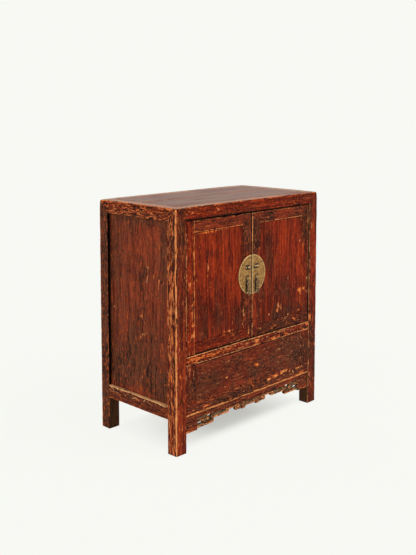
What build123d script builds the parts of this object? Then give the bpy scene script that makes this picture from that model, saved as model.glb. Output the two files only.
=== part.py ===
from build123d import *
import os

# A kang cabinet: a low two-door lacquered cabinet of frame and panel work on short legs.
# Millimetres, +Z up. The front faces -Y and the origin is on the floor, at the middle of the frame.
os.makedirs("parts", exist_ok=True)

# Overall size over the frame
width = 815.0
depth = 426.0
height = 900.0

# Posts and rails
post_w = 50.0  # along X
post_d = 46.0  # along Y, and the depth of every front and back rail
top_rail_h = 48.0
mid_rail_z = 322.0  # underside of the rail below the doors
mid_rail_h = 34.0
bottom_rail_z = 137.0  # underside of the front and back bottom rails
bottom_rail_h = 41.0
side_rail_h = 50.0  # the side bottom rails finish level with the front one
side_rail_t = 34.0
arris_r = 3.0  # outer arrises, rounded by wear
soft_r = 1.2  # every other long edge
foot_chamfer = 1.0

# Mortise and tenon joints of the mid and bottom rails
tenon_t = 12.0
tenon_set = 10.0  # from the outer face of the frame to the tenon
tenon_shoulder = 10.0
tenon_x = 26.0  # reach of a front or back rail's tenon into its post
tenon_y = 18.0  # reach of a side rail's tenon
tenon_gap = 1.0  # left at the end of a mortise

# Panels that sit in grooves
tongue = 8.0  # how deep a panel's edge is housed
panel_t = 10.0
panel_set = 12.0  # side and back panels lie this far inside the frame's face

# Boards of the top
top_board_t = 14.0
top_tongue_t = 6.0
top_seam_y = 18.0  # where the two boards meet
board_gap = 0.6
batten_w = 30.0
batten_t = 18.0
batten_x = 180.0

# Lower front
lower_stile_w = 52.0
lower_stile_t = 20.0
lower_stile_set = 0.8
lower_panel_t = 12.0
lower_panel_set = 1.5
lower_tongue_t = 6.0
lower_panel_gap = 2.5  # open joint between the panel and the rail above

# Apron, carved along its lower edge; widths run from the legs towards the middle
apron_t = 14.0
apron_set = 5.0
apron_h = 45.0  # from the bottom rail down to the plain bar's lower edge
apron_end_w = 60.0
apron_hook_w = 88.0
apron_bar_w = 85.0
apron_notch_w = 37.0
apron_scroll_w = 33.0
apron_curl_w = 24.0
apron_end_drop = 22.0  # each lower than the plain bar
apron_hook_drop = 16.0
apron_scroll_drop = 4.0
apron_curl_drop = 7.5
apron_notch_rise = 10.5  # each higher than the plain bar
apron_slit_rise = 9.0
apron_slit_w = 2.5
apron_r = 2.5
apron_line_w = 5.0  # sunk line above the bars
apron_line_d = 3.0
apron_line_rise = 14.0  # from the bar's lower edge to the middle of the line
pierced_h = 8.5
pierced_low_w = 30.0
pierced_low_in = 18.0  # from the end block to the middle of the hole
pierced_low_rise = 0.0
pierced_high_w = 24.0
pierced_high_in = 20.0  # from the hook's inner end to the middle of the hole
pierced_high_rise = 15.5

# Inside
shelf_z = 600.0
shelf_t = 14.0
cleat_w = 18.0
cleat_h = 18.0
floor_z = 340.0
floor_t = 12.0
bearer_w = 30.0
bearer_x = 130.0
lid_gap = 0.7
lid_rest = 0.3
finger_hole_r = 13.0
finger_hole_in = 45.0  # from the lid's front edge
store_floor_z = 156.0
store_floor_t = 12.0

# Doors
door_set = 3.0  # behind the face of the frame
door_t = 24.0
door_side_gap = 1.5
door_mid_gap = 2.0
door_low_gap = 2.0
door_top_gap = 2.5
hinge_stile_w = 45.0
lock_stile_w = 48.0
door_rail_h = 44.0
door_tenon = 20.0
door_tenon_t = 8.0
door_panel_set = 1.2
door_panel_t = 9.0
door_tongue_t = 5.0
door_panel_gap = 0.8
door_batten_h = 26.0
door_batten_t = 8.0
door_batten_in = 90.0  # from the panel's end to the batten's middle
pivot_in = 9.0  # pivot axis behind the door's face and inside its hinge edge
pivot_r = 7.0
pivot_low = 10.0
pivot_top = 12.0
pivot_play = 0.1
pivot_end_gap = 1.0

# Brass
lock_rise = 4.5  # lock plate's centre above the middle of the door opening
plate_r = 77.5
plate_t = 1.5
plate_edge = 0.5
nail_ring_r = 70.5
nail_head_r = 2.6
nail_head_h = 1.3
nail_round = 0.9
nail_shank_r = 1.1
nail_shank = 7.0
nail_play = 0.1
nail_angles = (-76, -38, 0, 38, 76)
shank_r = 1.8
clinch_w = 3.0
clinch_t = 1.0
clinch_l = 16.0
lug_x = 23.5
lug_rise = 29.5
lug_leaf_x = 20.0
lug_leaf_l = 18.0  # half lengths of the leaf
lug_leaf_h = 6.0
lug_leaf_t = 1.2
eye_r = 6.0
eye_hole_r = 3.5
eye_w = 4.0
eye_gap = 0.2  # from the leaf to the eye's hole
pull_x = 26.0
pull_drop = 12.5
rosette_r = 9.0
rosette_t = 1.2
ring_r = 4.3
wire_r = 1.2
ring_gap = 0.2  # from the rosette to the staple's ring
pull_t = 2.2
pull_play = 0.5
pull_bail = 1.9  # metal above the hole
pull_neck = 2.4  # half widths
pull_shoulder = 11.0
pull_waist = 6.0
pull_foot = 8.5
pull_neck_l = 7.0  # lengths down the pull, from the hole
pull_shoulder_l = 7.0
pull_waist_l = 15.0
pull_foot_l = 18.0
pull_tip_l = 14.0
pull_r = 2.0

# Places worked out from the sizes above
front_y = -depth / 2
back_y = depth / 2
inner_x = width / 2 - post_w  # half the width of the door opening
inner_y = depth / 2 - post_d
top_rail_z = height - top_rail_h
mid_top_z = mid_rail_z + mid_rail_h
store_z = bottom_rail_z + bottom_rail_h
side_rail_z = store_z - side_rail_h
panel_in = panel_set + panel_t
panel_x = width / 2 - panel_in  # inner face of the side panels
door_front_y = front_y + door_set
door_back_y = door_front_y + door_t
door_z0 = mid_top_z + door_low_gap
door_z1 = top_rail_z - door_top_gap
door_hinge_x = inner_x - door_side_gap
pivot_x = door_hinge_x - pivot_in
pivot_y = door_front_y + pivot_in
lock_z = (mid_top_z + top_rail_z) / 2 + lock_rise
lug_z = lock_z + lug_rise
pull_z = lock_z - pull_drop
plate_front_y = door_front_y - plate_t
eye_y = plate_front_y - lug_leaf_t - eye_gap - eye_hole_r
ring_y = plate_front_y - rosette_t - ring_gap - wire_r - ring_r
corners = {"front_left": (-1, -1), "front_right": (1, -1), "back_left": (-1, 1), "back_right": (1, 1)}
sides = {"left": -1, "right": 1}


def save(piece, name):
    piece.part.label = name
    export_step(piece.part, f"parts/{name}.step")


def block(x, y, z, mode=Mode.ADD):
    # a box between two values along each axis
    with Locations(((x[0] + x[1]) / 2, (y[0] + y[1]) / 2, (z[0] + z[1]) / 2)):
        Box(abs(x[1] - x[0]), abs(y[1] - y[0]), abs(z[1] - z[0]), mode=mode)


def mitre_plane(sx, sy, own, other):
    # where two members meet at a top corner, facing the member that runs along own
    inward = {
        "x": Vector(-sx / post_w, 0, 0),
        "y": Vector(0, -sy / post_d, 0),
        "z": Vector(0, 0, -1 / top_rail_h),
    }
    return Plane(origin=(sx * width / 2, sy * depth / 2, height), z_dir=inward[own] - inward[other])


def side_panel(sx, mode=Mode.ADD):
    # a board, or its housing when it is subtracted
    block(
        (sx * panel_x, sx * (panel_x + panel_t)),
        (-inner_y - tongue, inner_y + tongue),
        (store_z - tongue, top_rail_z + tongue),
        mode,
    )


def back_panel(low, high, mode=Mode.ADD):
    inside_y = back_y - panel_in
    block(
        (-inner_x - tongue, inner_x + tongue),
        (inside_y, inside_y + panel_t),
        (low - tongue, high + tongue),
        mode,
    )


def long_tenon(sy, z, h, play, mode):
    # the tenons at both ends of a front or back rail, in one bar
    face = sy * (depth / 2 - tenon_set)
    block(
        (-inner_x - tenon_x - play, inner_x + tenon_x + play),
        (face, face - sy * tenon_t),
        (z + tenon_shoulder, z + h - tenon_shoulder),
        mode,
    )


def side_tenon(sx, play, mode):
    face = sx * (width / 2 - tenon_set)
    block(
        (face, face - sx * tenon_t),
        (-inner_y - tenon_y - play, inner_y + tenon_y + play),
        (side_rail_z + tenon_shoulder, store_z - tenon_shoulder),
        mode,
    )


def top_boards(mode=Mode.ADD):
    # the top's tongue all round, cut by the frame's housing
    block(
        (-inner_x - tongue, inner_x + tongue),
        (-inner_y - tongue, inner_y + tongue),
        (height - top_board_t, height - top_board_t + top_tongue_t),
        mode,
    )


def lower_tongue(mode=Mode.ADD):
    back = front_y + lower_panel_set + lower_panel_t
    half = inner_x - lower_stile_w + tongue
    block((-half, half), (back - lower_tongue_t, back), (store_z - tongue, mid_rail_z + tongue), mode)


def store_floor_board(mode=Mode.ADD):
    across = width / 2 - side_rail_t + tongue
    z = (store_floor_z, store_floor_z + store_floor_t)
    block((-across, across), (-inner_y, inner_y), z, mode)
    block((-inner_x, inner_x), (-inner_y - tongue, inner_y + tongue), z, mode)


def pivot_hole(side, z, deep):
    # a blind hole for a door's pivot, from z upwards or downwards
    with Locations((side * pivot_x, pivot_y, z + deep / 2)):
        Cylinder(pivot_r + pivot_play, abs(deep), mode=Mode.SUBTRACT)


# Frame: four posts, three-way mitred into four top rails
for corner, (sx, sy) in corners.items():
    with BuildPart() as post:
        with BuildSketch() as section:
            with Locations((sx * (width - post_w) / 2, sy * (depth - post_d) / 2)):
                Rectangle(post_w, post_d)
            fillet(section.vertices().sort_by_distance((0, 0))[:3], soft_r)
            fillet(section.vertices().sort_by_distance((0, 0))[-1], arris_r)
        extrude(amount=height)
        chamfer(post.edges().group_by(Axis.Z)[0], foot_chamfer)
        split(bisect_by=mitre_plane(sx, sy, "z", "x"), keep=Keep.TOP)
        split(bisect_by=mitre_plane(sx, sy, "z", "y"), keep=Keep.TOP)
        long_tenon(sy, mid_rail_z, mid_rail_h, tenon_gap, Mode.SUBTRACT)
        long_tenon(sy, bottom_rail_z, bottom_rail_h, tenon_gap, Mode.SUBTRACT)
        side_tenon(sx, tenon_gap, Mode.SUBTRACT)
        side_panel(sx, Mode.SUBTRACT)
        if sy > 0:
            back_panel(store_z, mid_rail_z, Mode.SUBTRACT)
            back_panel(mid_top_z, top_rail_z, Mode.SUBTRACT)
    save(post, f"post_{corner}")

for name, sy in (("front", -1), ("back", 1)):
    with BuildPart() as top_rail:
        with BuildSketch(Plane.YZ.offset(-width / 2)) as section:
            with Locations((sy * (depth - post_d) / 2, height - top_rail_h / 2)):
                Rectangle(post_d, top_rail_h)
            fillet(section.vertices().sort_by_distance((sy * depth / 2, height))[1:], soft_r)
            fillet(section.vertices().sort_by_distance((sy * depth / 2, height))[0], arris_r)
        extrude(amount=width)
        for sx in sides.values():
            split(bisect_by=mitre_plane(sx, sy, "x", "y"), keep=Keep.TOP)
            split(bisect_by=mitre_plane(sx, sy, "x", "z"), keep=Keep.TOP)
        top_boards(Mode.SUBTRACT)
        if sy < 0:
            for side in sides.values():
                pivot_hole(side, top_rail_z, door_top_gap + pivot_top + pivot_end_gap)
        else:
            back_panel(mid_top_z, top_rail_z, Mode.SUBTRACT)
    save(top_rail, f"top_rail_{name}")

for name, sx in sides.items():
    with BuildPart() as top_rail:
        with BuildSketch(Plane.XZ.offset(-depth / 2)) as section:
            with Locations((sx * (width - post_w) / 2, height - top_rail_h / 2)):
                Rectangle(post_w, top_rail_h)
            fillet(section.vertices().sort_by_distance((sx * width / 2, height))[1:], soft_r)
            fillet(section.vertices().sort_by_distance((sx * width / 2, height))[0], arris_r)
        extrude(amount=depth)
        for sy in (-1, 1):
            split(bisect_by=mitre_plane(sx, sy, "y", "x"), keep=Keep.TOP)
            split(bisect_by=mitre_plane(sx, sy, "y", "z"), keep=Keep.TOP)
        top_boards(Mode.SUBTRACT)
        side_panel(sx, Mode.SUBTRACT)
    save(top_rail, f"top_rail_{name}")

# Rails between the posts
for name, sy in (("front", -1), ("back", 1)):
    with BuildPart() as mid_rail:
        with BuildSketch(Plane.YZ.offset(-inner_x)) as section:
            with Locations((sy * (depth - post_d) / 2, mid_rail_z + mid_rail_h / 2)):
                Rectangle(post_d, mid_rail_h)
            fillet(section.vertices(), soft_r)
        extrude(amount=2 * inner_x)
        long_tenon(sy, mid_rail_z, mid_rail_h, 0, Mode.ADD)
        if sy < 0:
            lower_tongue(Mode.SUBTRACT)
            for side in sides.values():
                pivot_hole(side, mid_top_z, door_low_gap - pivot_low - pivot_end_gap)
        else:
            back_panel(store_z, mid_rail_z, Mode.SUBTRACT)
            back_panel(mid_top_z, top_rail_z, Mode.SUBTRACT)
    save(mid_rail, f"mid_rail_{name}")

for name, sy in (("front", -1), ("back", 1)):
    with BuildPart() as bottom_rail:
        with BuildSketch(Plane.YZ.offset(-inner_x)) as section:
            with Locations((sy * (depth - post_d) / 2, bottom_rail_z + bottom_rail_h / 2)):
                Rectangle(post_d, bottom_rail_h)
            fillet(section.vertices(), soft_r)
        extrude(amount=2 * inner_x)
        long_tenon(sy, bottom_rail_z, bottom_rail_h, 0, Mode.ADD)
        store_floor_board(Mode.SUBTRACT)
        if sy < 0:
            lower_tongue(Mode.SUBTRACT)
        else:
            back_panel(store_z, mid_rail_z, Mode.SUBTRACT)
    save(bottom_rail, f"bottom_rail_{name}")

for name, sx in sides.items():
    with BuildPart() as bottom_rail:
        with BuildSketch(Plane.XZ.offset(-inner_y)) as section:
            with Locations((sx * (width - side_rail_t) / 2, side_rail_z + side_rail_h / 2)):
                Rectangle(side_rail_t, side_rail_h)
            fillet(section.vertices(), soft_r)
        extrude(amount=2 * inner_y)
        side_tenon(sx, 0, Mode.ADD)
        store_floor_board(Mode.SUBTRACT)
        side_panel(sx, Mode.SUBTRACT)
    save(bottom_rail, f"bottom_rail_{name}")

# Top boards, flush with their frame, on two battens
for name, ends in (("front", (-inner_y, top_seam_y - board_gap / 2)), ("back", (top_seam_y + board_gap / 2, inner_y))):
    sy = -1 if name == "front" else 1
    housed = (ends[0] - tongue, ends[1]) if sy < 0 else (ends[0], ends[1] + tongue)
    with BuildPart() as top_board:
        block((-inner_x, inner_x), ends, (height - top_board_t, height))
        block(
            (-inner_x - tongue, inner_x + tongue),
            housed,
            (height - top_board_t, height - top_board_t + top_tongue_t),
        )
    save(top_board, f"top_board_{name}")

with BuildPart() as top_battens:
    for side in sides.values():
        block(
            (side * batten_x - batten_w / 2, side * batten_x + batten_w / 2),
            (-inner_y, inner_y),
            (height - top_board_t - batten_t, height - top_board_t),
        )
save(top_battens, "top_battens")

# Side and back panels
for name, sx in sides.items():
    with BuildPart() as panel:
        side_panel(sx)
    save(panel, f"side_panel_{name}")

for name, low, high in (("lower", store_z, mid_rail_z), ("upper", mid_top_z, top_rail_z)):
    with BuildPart() as panel:
        back_panel(low, high)
    save(panel, f"back_panel_{name}")

# Lower front: a nearly flush panel between two short stiles
for name, sx in sides.items():
    with BuildPart() as lower_stile:
        with BuildSketch(Plane.XY.offset(store_z)) as section:
            with Locations((sx * (inner_x - lower_stile_w / 2), front_y + lower_stile_set + lower_stile_t / 2)):
                Rectangle(lower_stile_w, lower_stile_t)
            fillet(section.vertices(), soft_r)
        extrude(amount=mid_rail_z - store_z)
        lower_tongue(Mode.SUBTRACT)
    save(lower_stile, f"lower_stile_{name}")

with BuildPart() as lower_panel:
    half = inner_x - lower_stile_w
    block(
        (-half, half),
        (front_y + lower_panel_set, front_y + lower_panel_set + lower_panel_t),
        (store_z, mid_rail_z - lower_panel_gap),
    )
    lower_tongue()
save(lower_panel, "lower_panel")

# Apron: hooked ends, a plain bar and a double scroll, mirrored about the middle
bar_z = bottom_rail_z - apron_h
end_u = inner_x - apron_end_w
hook_u = end_u - apron_hook_w
bar_u = hook_u - apron_bar_w
notch_u = bar_u - apron_notch_w
slit_u = notch_u - apron_scroll_w
curl_u = slit_u - apron_curl_w
lower_edge = [
    (0, bar_z),
    (curl_u, bar_z),
    (curl_u, bar_z - apron_curl_drop),
    (slit_u - apron_slit_w / 2, bar_z - apron_curl_drop),
    (slit_u - apron_slit_w / 2, bar_z + apron_slit_rise),
    (slit_u + apron_slit_w / 2, bar_z + apron_slit_rise),
    (slit_u + apron_slit_w / 2, bar_z - apron_scroll_drop),
    (notch_u, bar_z - apron_scroll_drop),
    (notch_u, bar_z + apron_notch_rise),
    (bar_u, bar_z + apron_notch_rise),
    (bar_u, bar_z),
    (hook_u, bar_z),
    (hook_u, bar_z - apron_hook_drop),
    (end_u, bar_z - apron_hook_drop),
    (end_u, bar_z - apron_end_drop),
    (inner_x, bar_z - apron_end_drop),
    (inner_x, bottom_rail_z),
    (0, bottom_rail_z),
]
apron_plane = Plane.XZ.offset(-(front_y + apron_set))
with BuildPart() as apron:
    with BuildSketch(apron_plane) as outline:
        with BuildLine():
            Polyline(*lower_edge, close=True)
        make_face()
        rounded = (curl_u, notch_u, bar_u, hook_u)
        fillet(outline.vertices().filter_by(lambda v: min(abs(v.X - u) for u in rounded) < 0.1), apron_r)
        with Locations((end_u - pierced_low_in, bar_z + pierced_low_rise)):
            SlotOverall(pierced_low_w, pierced_h, mode=Mode.SUBTRACT)
        with Locations((hook_u + pierced_high_in, bar_z + pierced_high_rise)):
            SlotOverall(pierced_high_w, pierced_h, mode=Mode.SUBTRACT)
        mirror(about=Plane.YZ)
    extrude(amount=-apron_t)
    with BuildSketch(apron_plane):
        for side in sides.values():
            with Locations((side * (bar_u + hook_u) / 2, bar_z + apron_line_rise)):
                SlotOverall(apron_bar_w, apron_line_w)
        with Locations((0, bar_z + apron_line_rise)):
            SlotOverall(2 * notch_u, apron_line_w)
    extrude(amount=-apron_line_d, mode=Mode.SUBTRACT)
save(apron, "apron")

# Inside: the shelf, the main floor with its lid, and the floor of the low store
with BuildPart() as shelf:
    block((-panel_x, panel_x), (-inner_y, inner_y), (shelf_z, shelf_z + shelf_t))
save(shelf, "shelf")

for name, under in (("shelf_cleats", shelf_z), ("floor_cleats", floor_z)):
    with BuildPart() as cleats:
        for side in sides.values():
            block(
                (side * (panel_x - cleat_w), side * panel_x),
                (-inner_y, inner_y),
                (under - cleat_h, under),
            )
    save(cleats, name)

with BuildPart() as main_floor:
    for side in sides.values():
        block((side * bearer_x, side * panel_x), (-inner_y, inner_y), (floor_z, floor_z + floor_t))
save(main_floor, "main_floor")

with BuildPart() as floor_bearers:
    for side in sides.values():
        block(
            (side * bearer_x - bearer_w / 2, side * bearer_x + bearer_w / 2),
            (-inner_y, inner_y),
            (floor_z - cleat_h, floor_z),
        )
save(floor_bearers, "floor_bearers")

lid_half_x = bearer_x - lid_gap
lid_half_y = inner_y - lid_gap
with BuildPart() as store_lid:
    block((-lid_half_x, lid_half_x), (-lid_half_y, lid_half_y), (floor_z + lid_rest, floor_z + lid_rest + floor_t))
    with Locations((0, -lid_half_y + finger_hole_in, floor_z + lid_rest + floor_t)):
        Hole(finger_hole_r)
save(store_lid, "store_lid")

with BuildPart() as store_floor:
    store_floor_board()
save(store_floor, "store_floor")

# Doors: the hinge stile runs the full height and carries both pivots; the lock stile is mitred
face_plane = Plane.XZ.offset(-door_front_y)
plate_plane = Plane.XZ.offset(-plate_front_y)
free_x = door_mid_gap / 2
lock_in_x = free_x + lock_stile_w  # inner edge of the lock stile
hinge_in_x = door_hinge_x - hinge_stile_w  # inner edge of the hinge stile
panel_z0 = door_z0 + door_rail_h
panel_z1 = door_z1 - door_rail_h
panel_back_y = door_front_y + door_panel_set + door_panel_t
tenon_y0 = door_front_y + (door_t - door_tenon_t) / 2


def door_tongue(side, mode=Mode.ADD):
    block(
        (side * (lock_in_x - tongue), side * (hinge_in_x + tongue)),
        (panel_back_y - door_tongue_t, panel_back_y),
        (panel_z0 - tongue, panel_z1 + tongue),
        mode,
    )


def rail_tenon(side, z, play, mode):
    block(
        (side * hinge_in_x, side * (hinge_in_x + door_tenon + play)),
        (tenon_y0, tenon_y0 + door_tenon_t),
        (z + tenon_shoulder, z + door_rail_h - tenon_shoulder),
        mode,
    )


def rod(x, y, z, radius, length, mode=Mode.ADD):
    # a round bar that runs from y towards the back
    with Locations(Location((x, y, z), (-90, 0, 0))):
        Cylinder(radius, length, align=(Align.CENTER, Align.CENTER, Align.MIN), mode=mode)


def nail_points(side):
    for angle in nail_angles:
        spot = Vector(side * nail_ring_r, 0).rotate(Axis.Z, angle)
        yield spot.X, lock_z + spot.Y


def nail_holes(side, y, length):
    for x, z in nail_points(side):
        rod(x, y, z, nail_shank_r + nail_play, length, Mode.SUBTRACT)


def shank_holes(side, y, length):
    for x, z in ((side * lug_x, lug_z), (side * pull_x, pull_z)):
        rod(x, y, z, shank_r + nail_play, length, Mode.SUBTRACT)


def clinch(x, z):
    # the legs of a staple, bent flat against the back of the door
    block(
        (x - clinch_w / 2, x + clinch_w / 2),
        (door_back_y, door_back_y + clinch_t),
        (z - clinch_l / 2, z + clinch_l / 2),
    )


for name, side in sides.items():
    with BuildPart() as hinge_stile:
        block((side * hinge_in_x, side * door_hinge_x), (door_front_y, door_back_y), (door_z0, door_z1))
        swung = hinge_stile.edges().filter_by(Axis.Z).sort_by_distance((side * width, front_y, height / 2))[0]
        fillet(swung, pivot_in)
        with Locations((side * pivot_x, pivot_y, door_z0 - pivot_low / 2)):
            Cylinder(pivot_r, pivot_low)
        with Locations((side * pivot_x, pivot_y, door_z1 + pivot_top / 2)):
            Cylinder(pivot_r, pivot_top)
        door_tongue(side, Mode.SUBTRACT)
        rail_tenon(side, door_z0, tenon_gap, Mode.SUBTRACT)
        rail_tenon(side, door_z1 - door_rail_h, tenon_gap, Mode.SUBTRACT)
    save(hinge_stile, f"door_{name}_hinge_stile")

    with BuildPart() as lock_stile:
        with BuildSketch(face_plane):
            Polygon(
                (side * free_x, door_z0),
                (side * lock_in_x, panel_z0),
                (side * lock_in_x, panel_z1),
                (side * free_x, door_z1),
                align=None,
            )
        extrude(amount=-door_t)
        meeting = lock_stile.edges().filter_by(Axis.Z).sort_by_distance((0, front_y, height / 2))[0]
        fillet(meeting, soft_r)
        door_tongue(side, Mode.SUBTRACT)
        shank_holes(side, door_front_y, door_t)
        nail_holes(side, door_front_y, nail_shank)
    save(lock_stile, f"door_{name}_lock_stile")

    for end, outer_z, inner_z in (("bottom", door_z0, panel_z0), ("top", door_z1, panel_z1)):
        with BuildPart() as door_rail:
            with BuildSketch(face_plane):
                Polygon(
                    (side * free_x, outer_z),
                    (side * hinge_in_x, outer_z),
                    (side * hinge_in_x, inner_z),
                    (side * lock_in_x, inner_z),
                    align=None,
                )
            extrude(amount=-door_t)
            rail_tenon(side, min(outer_z, inner_z), 0, Mode.ADD)
            door_tongue(side, Mode.SUBTRACT)
        save(door_rail, f"door_{name}_{end}_rail")

    with BuildPart() as door_panel:
        block(
            (side * (lock_in_x + door_panel_gap), side * (hinge_in_x - door_panel_gap)),
            (panel_back_y - door_panel_t, panel_back_y),
            (panel_z0 + door_panel_gap, panel_z1 - door_panel_gap),
        )
        door_tongue(side)
        nail_holes(side, door_front_y, nail_shank)
    save(door_panel, f"door_{name}_panel")

    with BuildPart() as door_battens:
        for z in (panel_z0 + door_batten_in, panel_z1 - door_batten_in):
            block(
                (side * lock_in_x, side * hinge_in_x),
                (panel_back_y, panel_back_y + door_batten_t),
                (z - door_batten_h / 2, z + door_batten_h / 2),
            )
    save(door_battens, f"door_{name}_battens")

    # Brass: half of the round lock plate, its nails, the lock lug and the drop pull
    with BuildPart() as lock_plate:
        with BuildSketch(face_plane):
            with Locations((0, lock_z)):
                Circle(plate_r)
            with Locations((side * (free_x - plate_r), lock_z)):
                Rectangle(2 * plate_r, 2 * plate_r, mode=Mode.SUBTRACT)
        extrude(amount=plate_t)
        chamfer(lock_plate.faces().sort_by(Axis.Y)[0].edges(), plate_edge)
        shank_holes(side, plate_front_y, plate_t)
        nail_holes(side, plate_front_y, plate_t)
    save(lock_plate, f"door_{name}_lock_plate")

    with BuildPart() as plate_nails:
        for x, z in nail_points(side):
            rod(x, plate_front_y - nail_head_h, z, nail_head_r, nail_head_h)
            rod(x, plate_front_y, z, nail_shank_r, plate_t + nail_shank)
        fillet(plate_nails.edges().filter_by(GeomType.CIRCLE).group_by(Axis.Y)[0], nail_round)
    save(plate_nails, f"door_{name}_plate_nails")

    with BuildPart() as lock_lug:
        with BuildSketch(plate_plane):
            with Locations((side * lug_leaf_x, lug_z)):
                Ellipse(lug_leaf_l, lug_leaf_h)
        extrude(amount=lug_leaf_t)
        with Locations(Location((side * lug_x, eye_y, lug_z), (0, 90, 0))):
            Cylinder(eye_r, eye_w)
            Cylinder(eye_hole_r, eye_w, mode=Mode.SUBTRACT)
        split(bisect_by=plate_plane, keep=Keep.TOP)
        rod(side * lug_x, plate_front_y, lug_z, shank_r, plate_t + door_t)
        clinch(side * lug_x, lug_z)
    save(lock_lug, f"door_{name}_lock_lug")

    with BuildPart() as rosette:
        with BuildSketch(plate_plane):
            with Locations((side * pull_x, pull_z)):
                Circle(rosette_r)
                Circle(shank_r + nail_play, mode=Mode.SUBTRACT)
        extrude(amount=rosette_t)
        rim = rosette.edges().filter_by(GeomType.CIRCLE).group_by(Axis.Y)[0].sort_by(SortBy.RADIUS)[-1]
        chamfer(rim, plate_edge)
    save(rosette, f"door_{name}_pull_rosette")

    with BuildPart() as pull_staple:
        with Locations(Location((side * pull_x, ring_y, pull_z), (0, 90, 0))):
            Torus(ring_r, wire_r)
        rod(side * pull_x, ring_y + ring_r, pull_z, shank_r, door_back_y - ring_y - ring_r)
        clinch(side * pull_x, pull_z)
    save(pull_staple, f"door_{name}_pull_staple")

    # The pull: a flat vase-shaped drop, hung by a hole round the staple's ring
    hole_r = wire_r + pull_play
    pull_outline = [(0, 0)]
    reach = 0
    for half_w, length in (
        (pull_neck, 0),
        (pull_neck, pull_neck_l),
        (pull_shoulder, pull_shoulder_l),
        (pull_waist, pull_waist_l),
        (pull_foot, pull_foot_l),
        (0, pull_tip_l),
    ):
        reach += length
        pull_outline.append((half_w, -reach))
    hang = Plane(origin=(side * pull_x, ring_y - pull_t / 2, pull_z - ring_r), x_dir=(1, 0, 0), z_dir=(0, -1, 0))
    with BuildPart() as pull:
        with BuildSketch(hang) as drop:
            with BuildLine():
                Polyline(*pull_outline, close=True)
            make_face()
            mirror(about=Plane.YZ)
            fillet(drop.vertices().filter_by(lambda v: v.Y < -1), pull_r)
            Circle(hole_r + pull_bail)
            Circle(hole_r, mode=Mode.SUBTRACT)
        extrude(amount=-pull_t)
    save(pull, f"pull_{name}")
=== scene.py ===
import math
import random

import bmesh
import bpy
import numpy as np
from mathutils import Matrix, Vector, noise


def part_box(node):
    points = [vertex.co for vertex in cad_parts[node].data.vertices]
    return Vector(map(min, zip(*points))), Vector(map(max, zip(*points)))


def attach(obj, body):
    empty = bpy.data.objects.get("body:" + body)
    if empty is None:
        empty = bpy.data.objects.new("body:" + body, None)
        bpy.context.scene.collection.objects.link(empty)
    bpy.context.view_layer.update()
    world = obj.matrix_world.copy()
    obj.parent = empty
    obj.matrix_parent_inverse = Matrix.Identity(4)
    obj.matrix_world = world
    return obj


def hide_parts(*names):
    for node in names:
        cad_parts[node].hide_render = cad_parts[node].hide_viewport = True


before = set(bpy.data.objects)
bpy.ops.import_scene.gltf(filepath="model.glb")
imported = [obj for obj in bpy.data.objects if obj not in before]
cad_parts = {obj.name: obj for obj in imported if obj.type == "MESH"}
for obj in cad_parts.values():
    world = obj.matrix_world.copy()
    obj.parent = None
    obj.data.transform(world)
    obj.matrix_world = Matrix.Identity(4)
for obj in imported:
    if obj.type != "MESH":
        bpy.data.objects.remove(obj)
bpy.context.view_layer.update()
mm = 0.001
print("frame loaded:", len(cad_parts), "nodes")


# Finishes: shader maths as expressions on node sockets

def tint(red, green, blue):
    # an sRGB colour, 0 to 255, as the linear colour that a socket takes
    shares = (red / 255, green / 255, blue / 255)
    return (*(s / 12.92 if s <= 0.04045 else ((s + 0.055) / 1.055) ** 2.4 for s in shares), 1.0)


def maths(operation, swapped=False):
    # a method of Signal that adds a maths node
    def method(self, other):
        first, second = (other, self) if swapped else (self, other)
        return self.finish.node("ShaderNodeMath", {"operation": operation}, {0: first, 1: second})
    return method


class Signal:
    __add__, __radd__ = maths("ADD"), maths("ADD", True)
    __sub__, __rsub__ = maths("SUBTRACT"), maths("SUBTRACT", True)
    __mul__ = maths("MULTIPLY")
    atLeast, atMost = maths("MAXIMUM"), maths("MINIMUM")

    def __init__(self, finish, socket):
        self.finish = finish
        self.socket = socket

    def swing(self, amount):
        # a noise about 0 instead of 0.5, times an amount
        return (self - 0.5) * amount

    def between(self, low, high):
        # 0 below low, 1 above high, smooth in between
        ends = {0: self, 1: low, 2: high, 3: 0.0, 4: 1.0}
        return self.finish.node("ShaderNodeMapRange", {"interpolation_type": "SMOOTHSTEP"}, ends)


class Finish:
    def __init__(self, owner):
        # owner is a material or a world
        owner.use_nodes = True
        self.owner = owner
        self.tree = owner.node_tree

    def feed(self, socket, value):
        if isinstance(value, Signal):
            self.tree.links.new(value.socket, socket)
        else:
            socket.default_value = value

    def node(self, kind, settings, inputs, output=0):
        made = self.tree.nodes.new(kind)
        for name, value in settings.items():
            setattr(made, name, value)
        for name, value in inputs.items():
            self.feed(made.inputs[name], value)
        return Signal(self, made.outputs[output])

    def attribute(self, name, output="Fac"):
        return self.node("ShaderNodeAttribute", {"attribute_name": name}, {}, output)

    def noise(self, place, scales, detail, rough, steps=None, bend=0.0):
        # a pattern over a place that is stretched by scales and then moved by steps
        for operation, by in (("MULTIPLY", scales), ("ADD", steps)):
            if by is not None:
                place = self.node("ShaderNodeVectorMath", {"operation": operation}, {0: place, 1: by})
        inputs = {"Vector": place, "Scale": 1.0, "Detail": detail, "Roughness": rough, "Distortion": bend}
        return self.node("ShaderNodeTexNoise", {}, inputs)

    def mix(self, share, first, second):
        settings = {"data_type": "RGBA", "blend_type": "MIX", "clamp_factor": True}
        return self.node("ShaderNodeMix", settings, {0: share, 6: first, 7: second}, 2)

    def finished(self, inputs, relief, strength, distance):
        # the material, with its surface's inputs and a bump set
        bump = {"Height": relief, "Strength": strength, "Distance": distance}
        inputs["Normal"] = self.node("ShaderNodeBump", {}, bump)
        for name, value in inputs.items():
            self.feed(self.tree.nodes["Principled BSDF"].inputs[name], value)
        return self.owner


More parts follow.
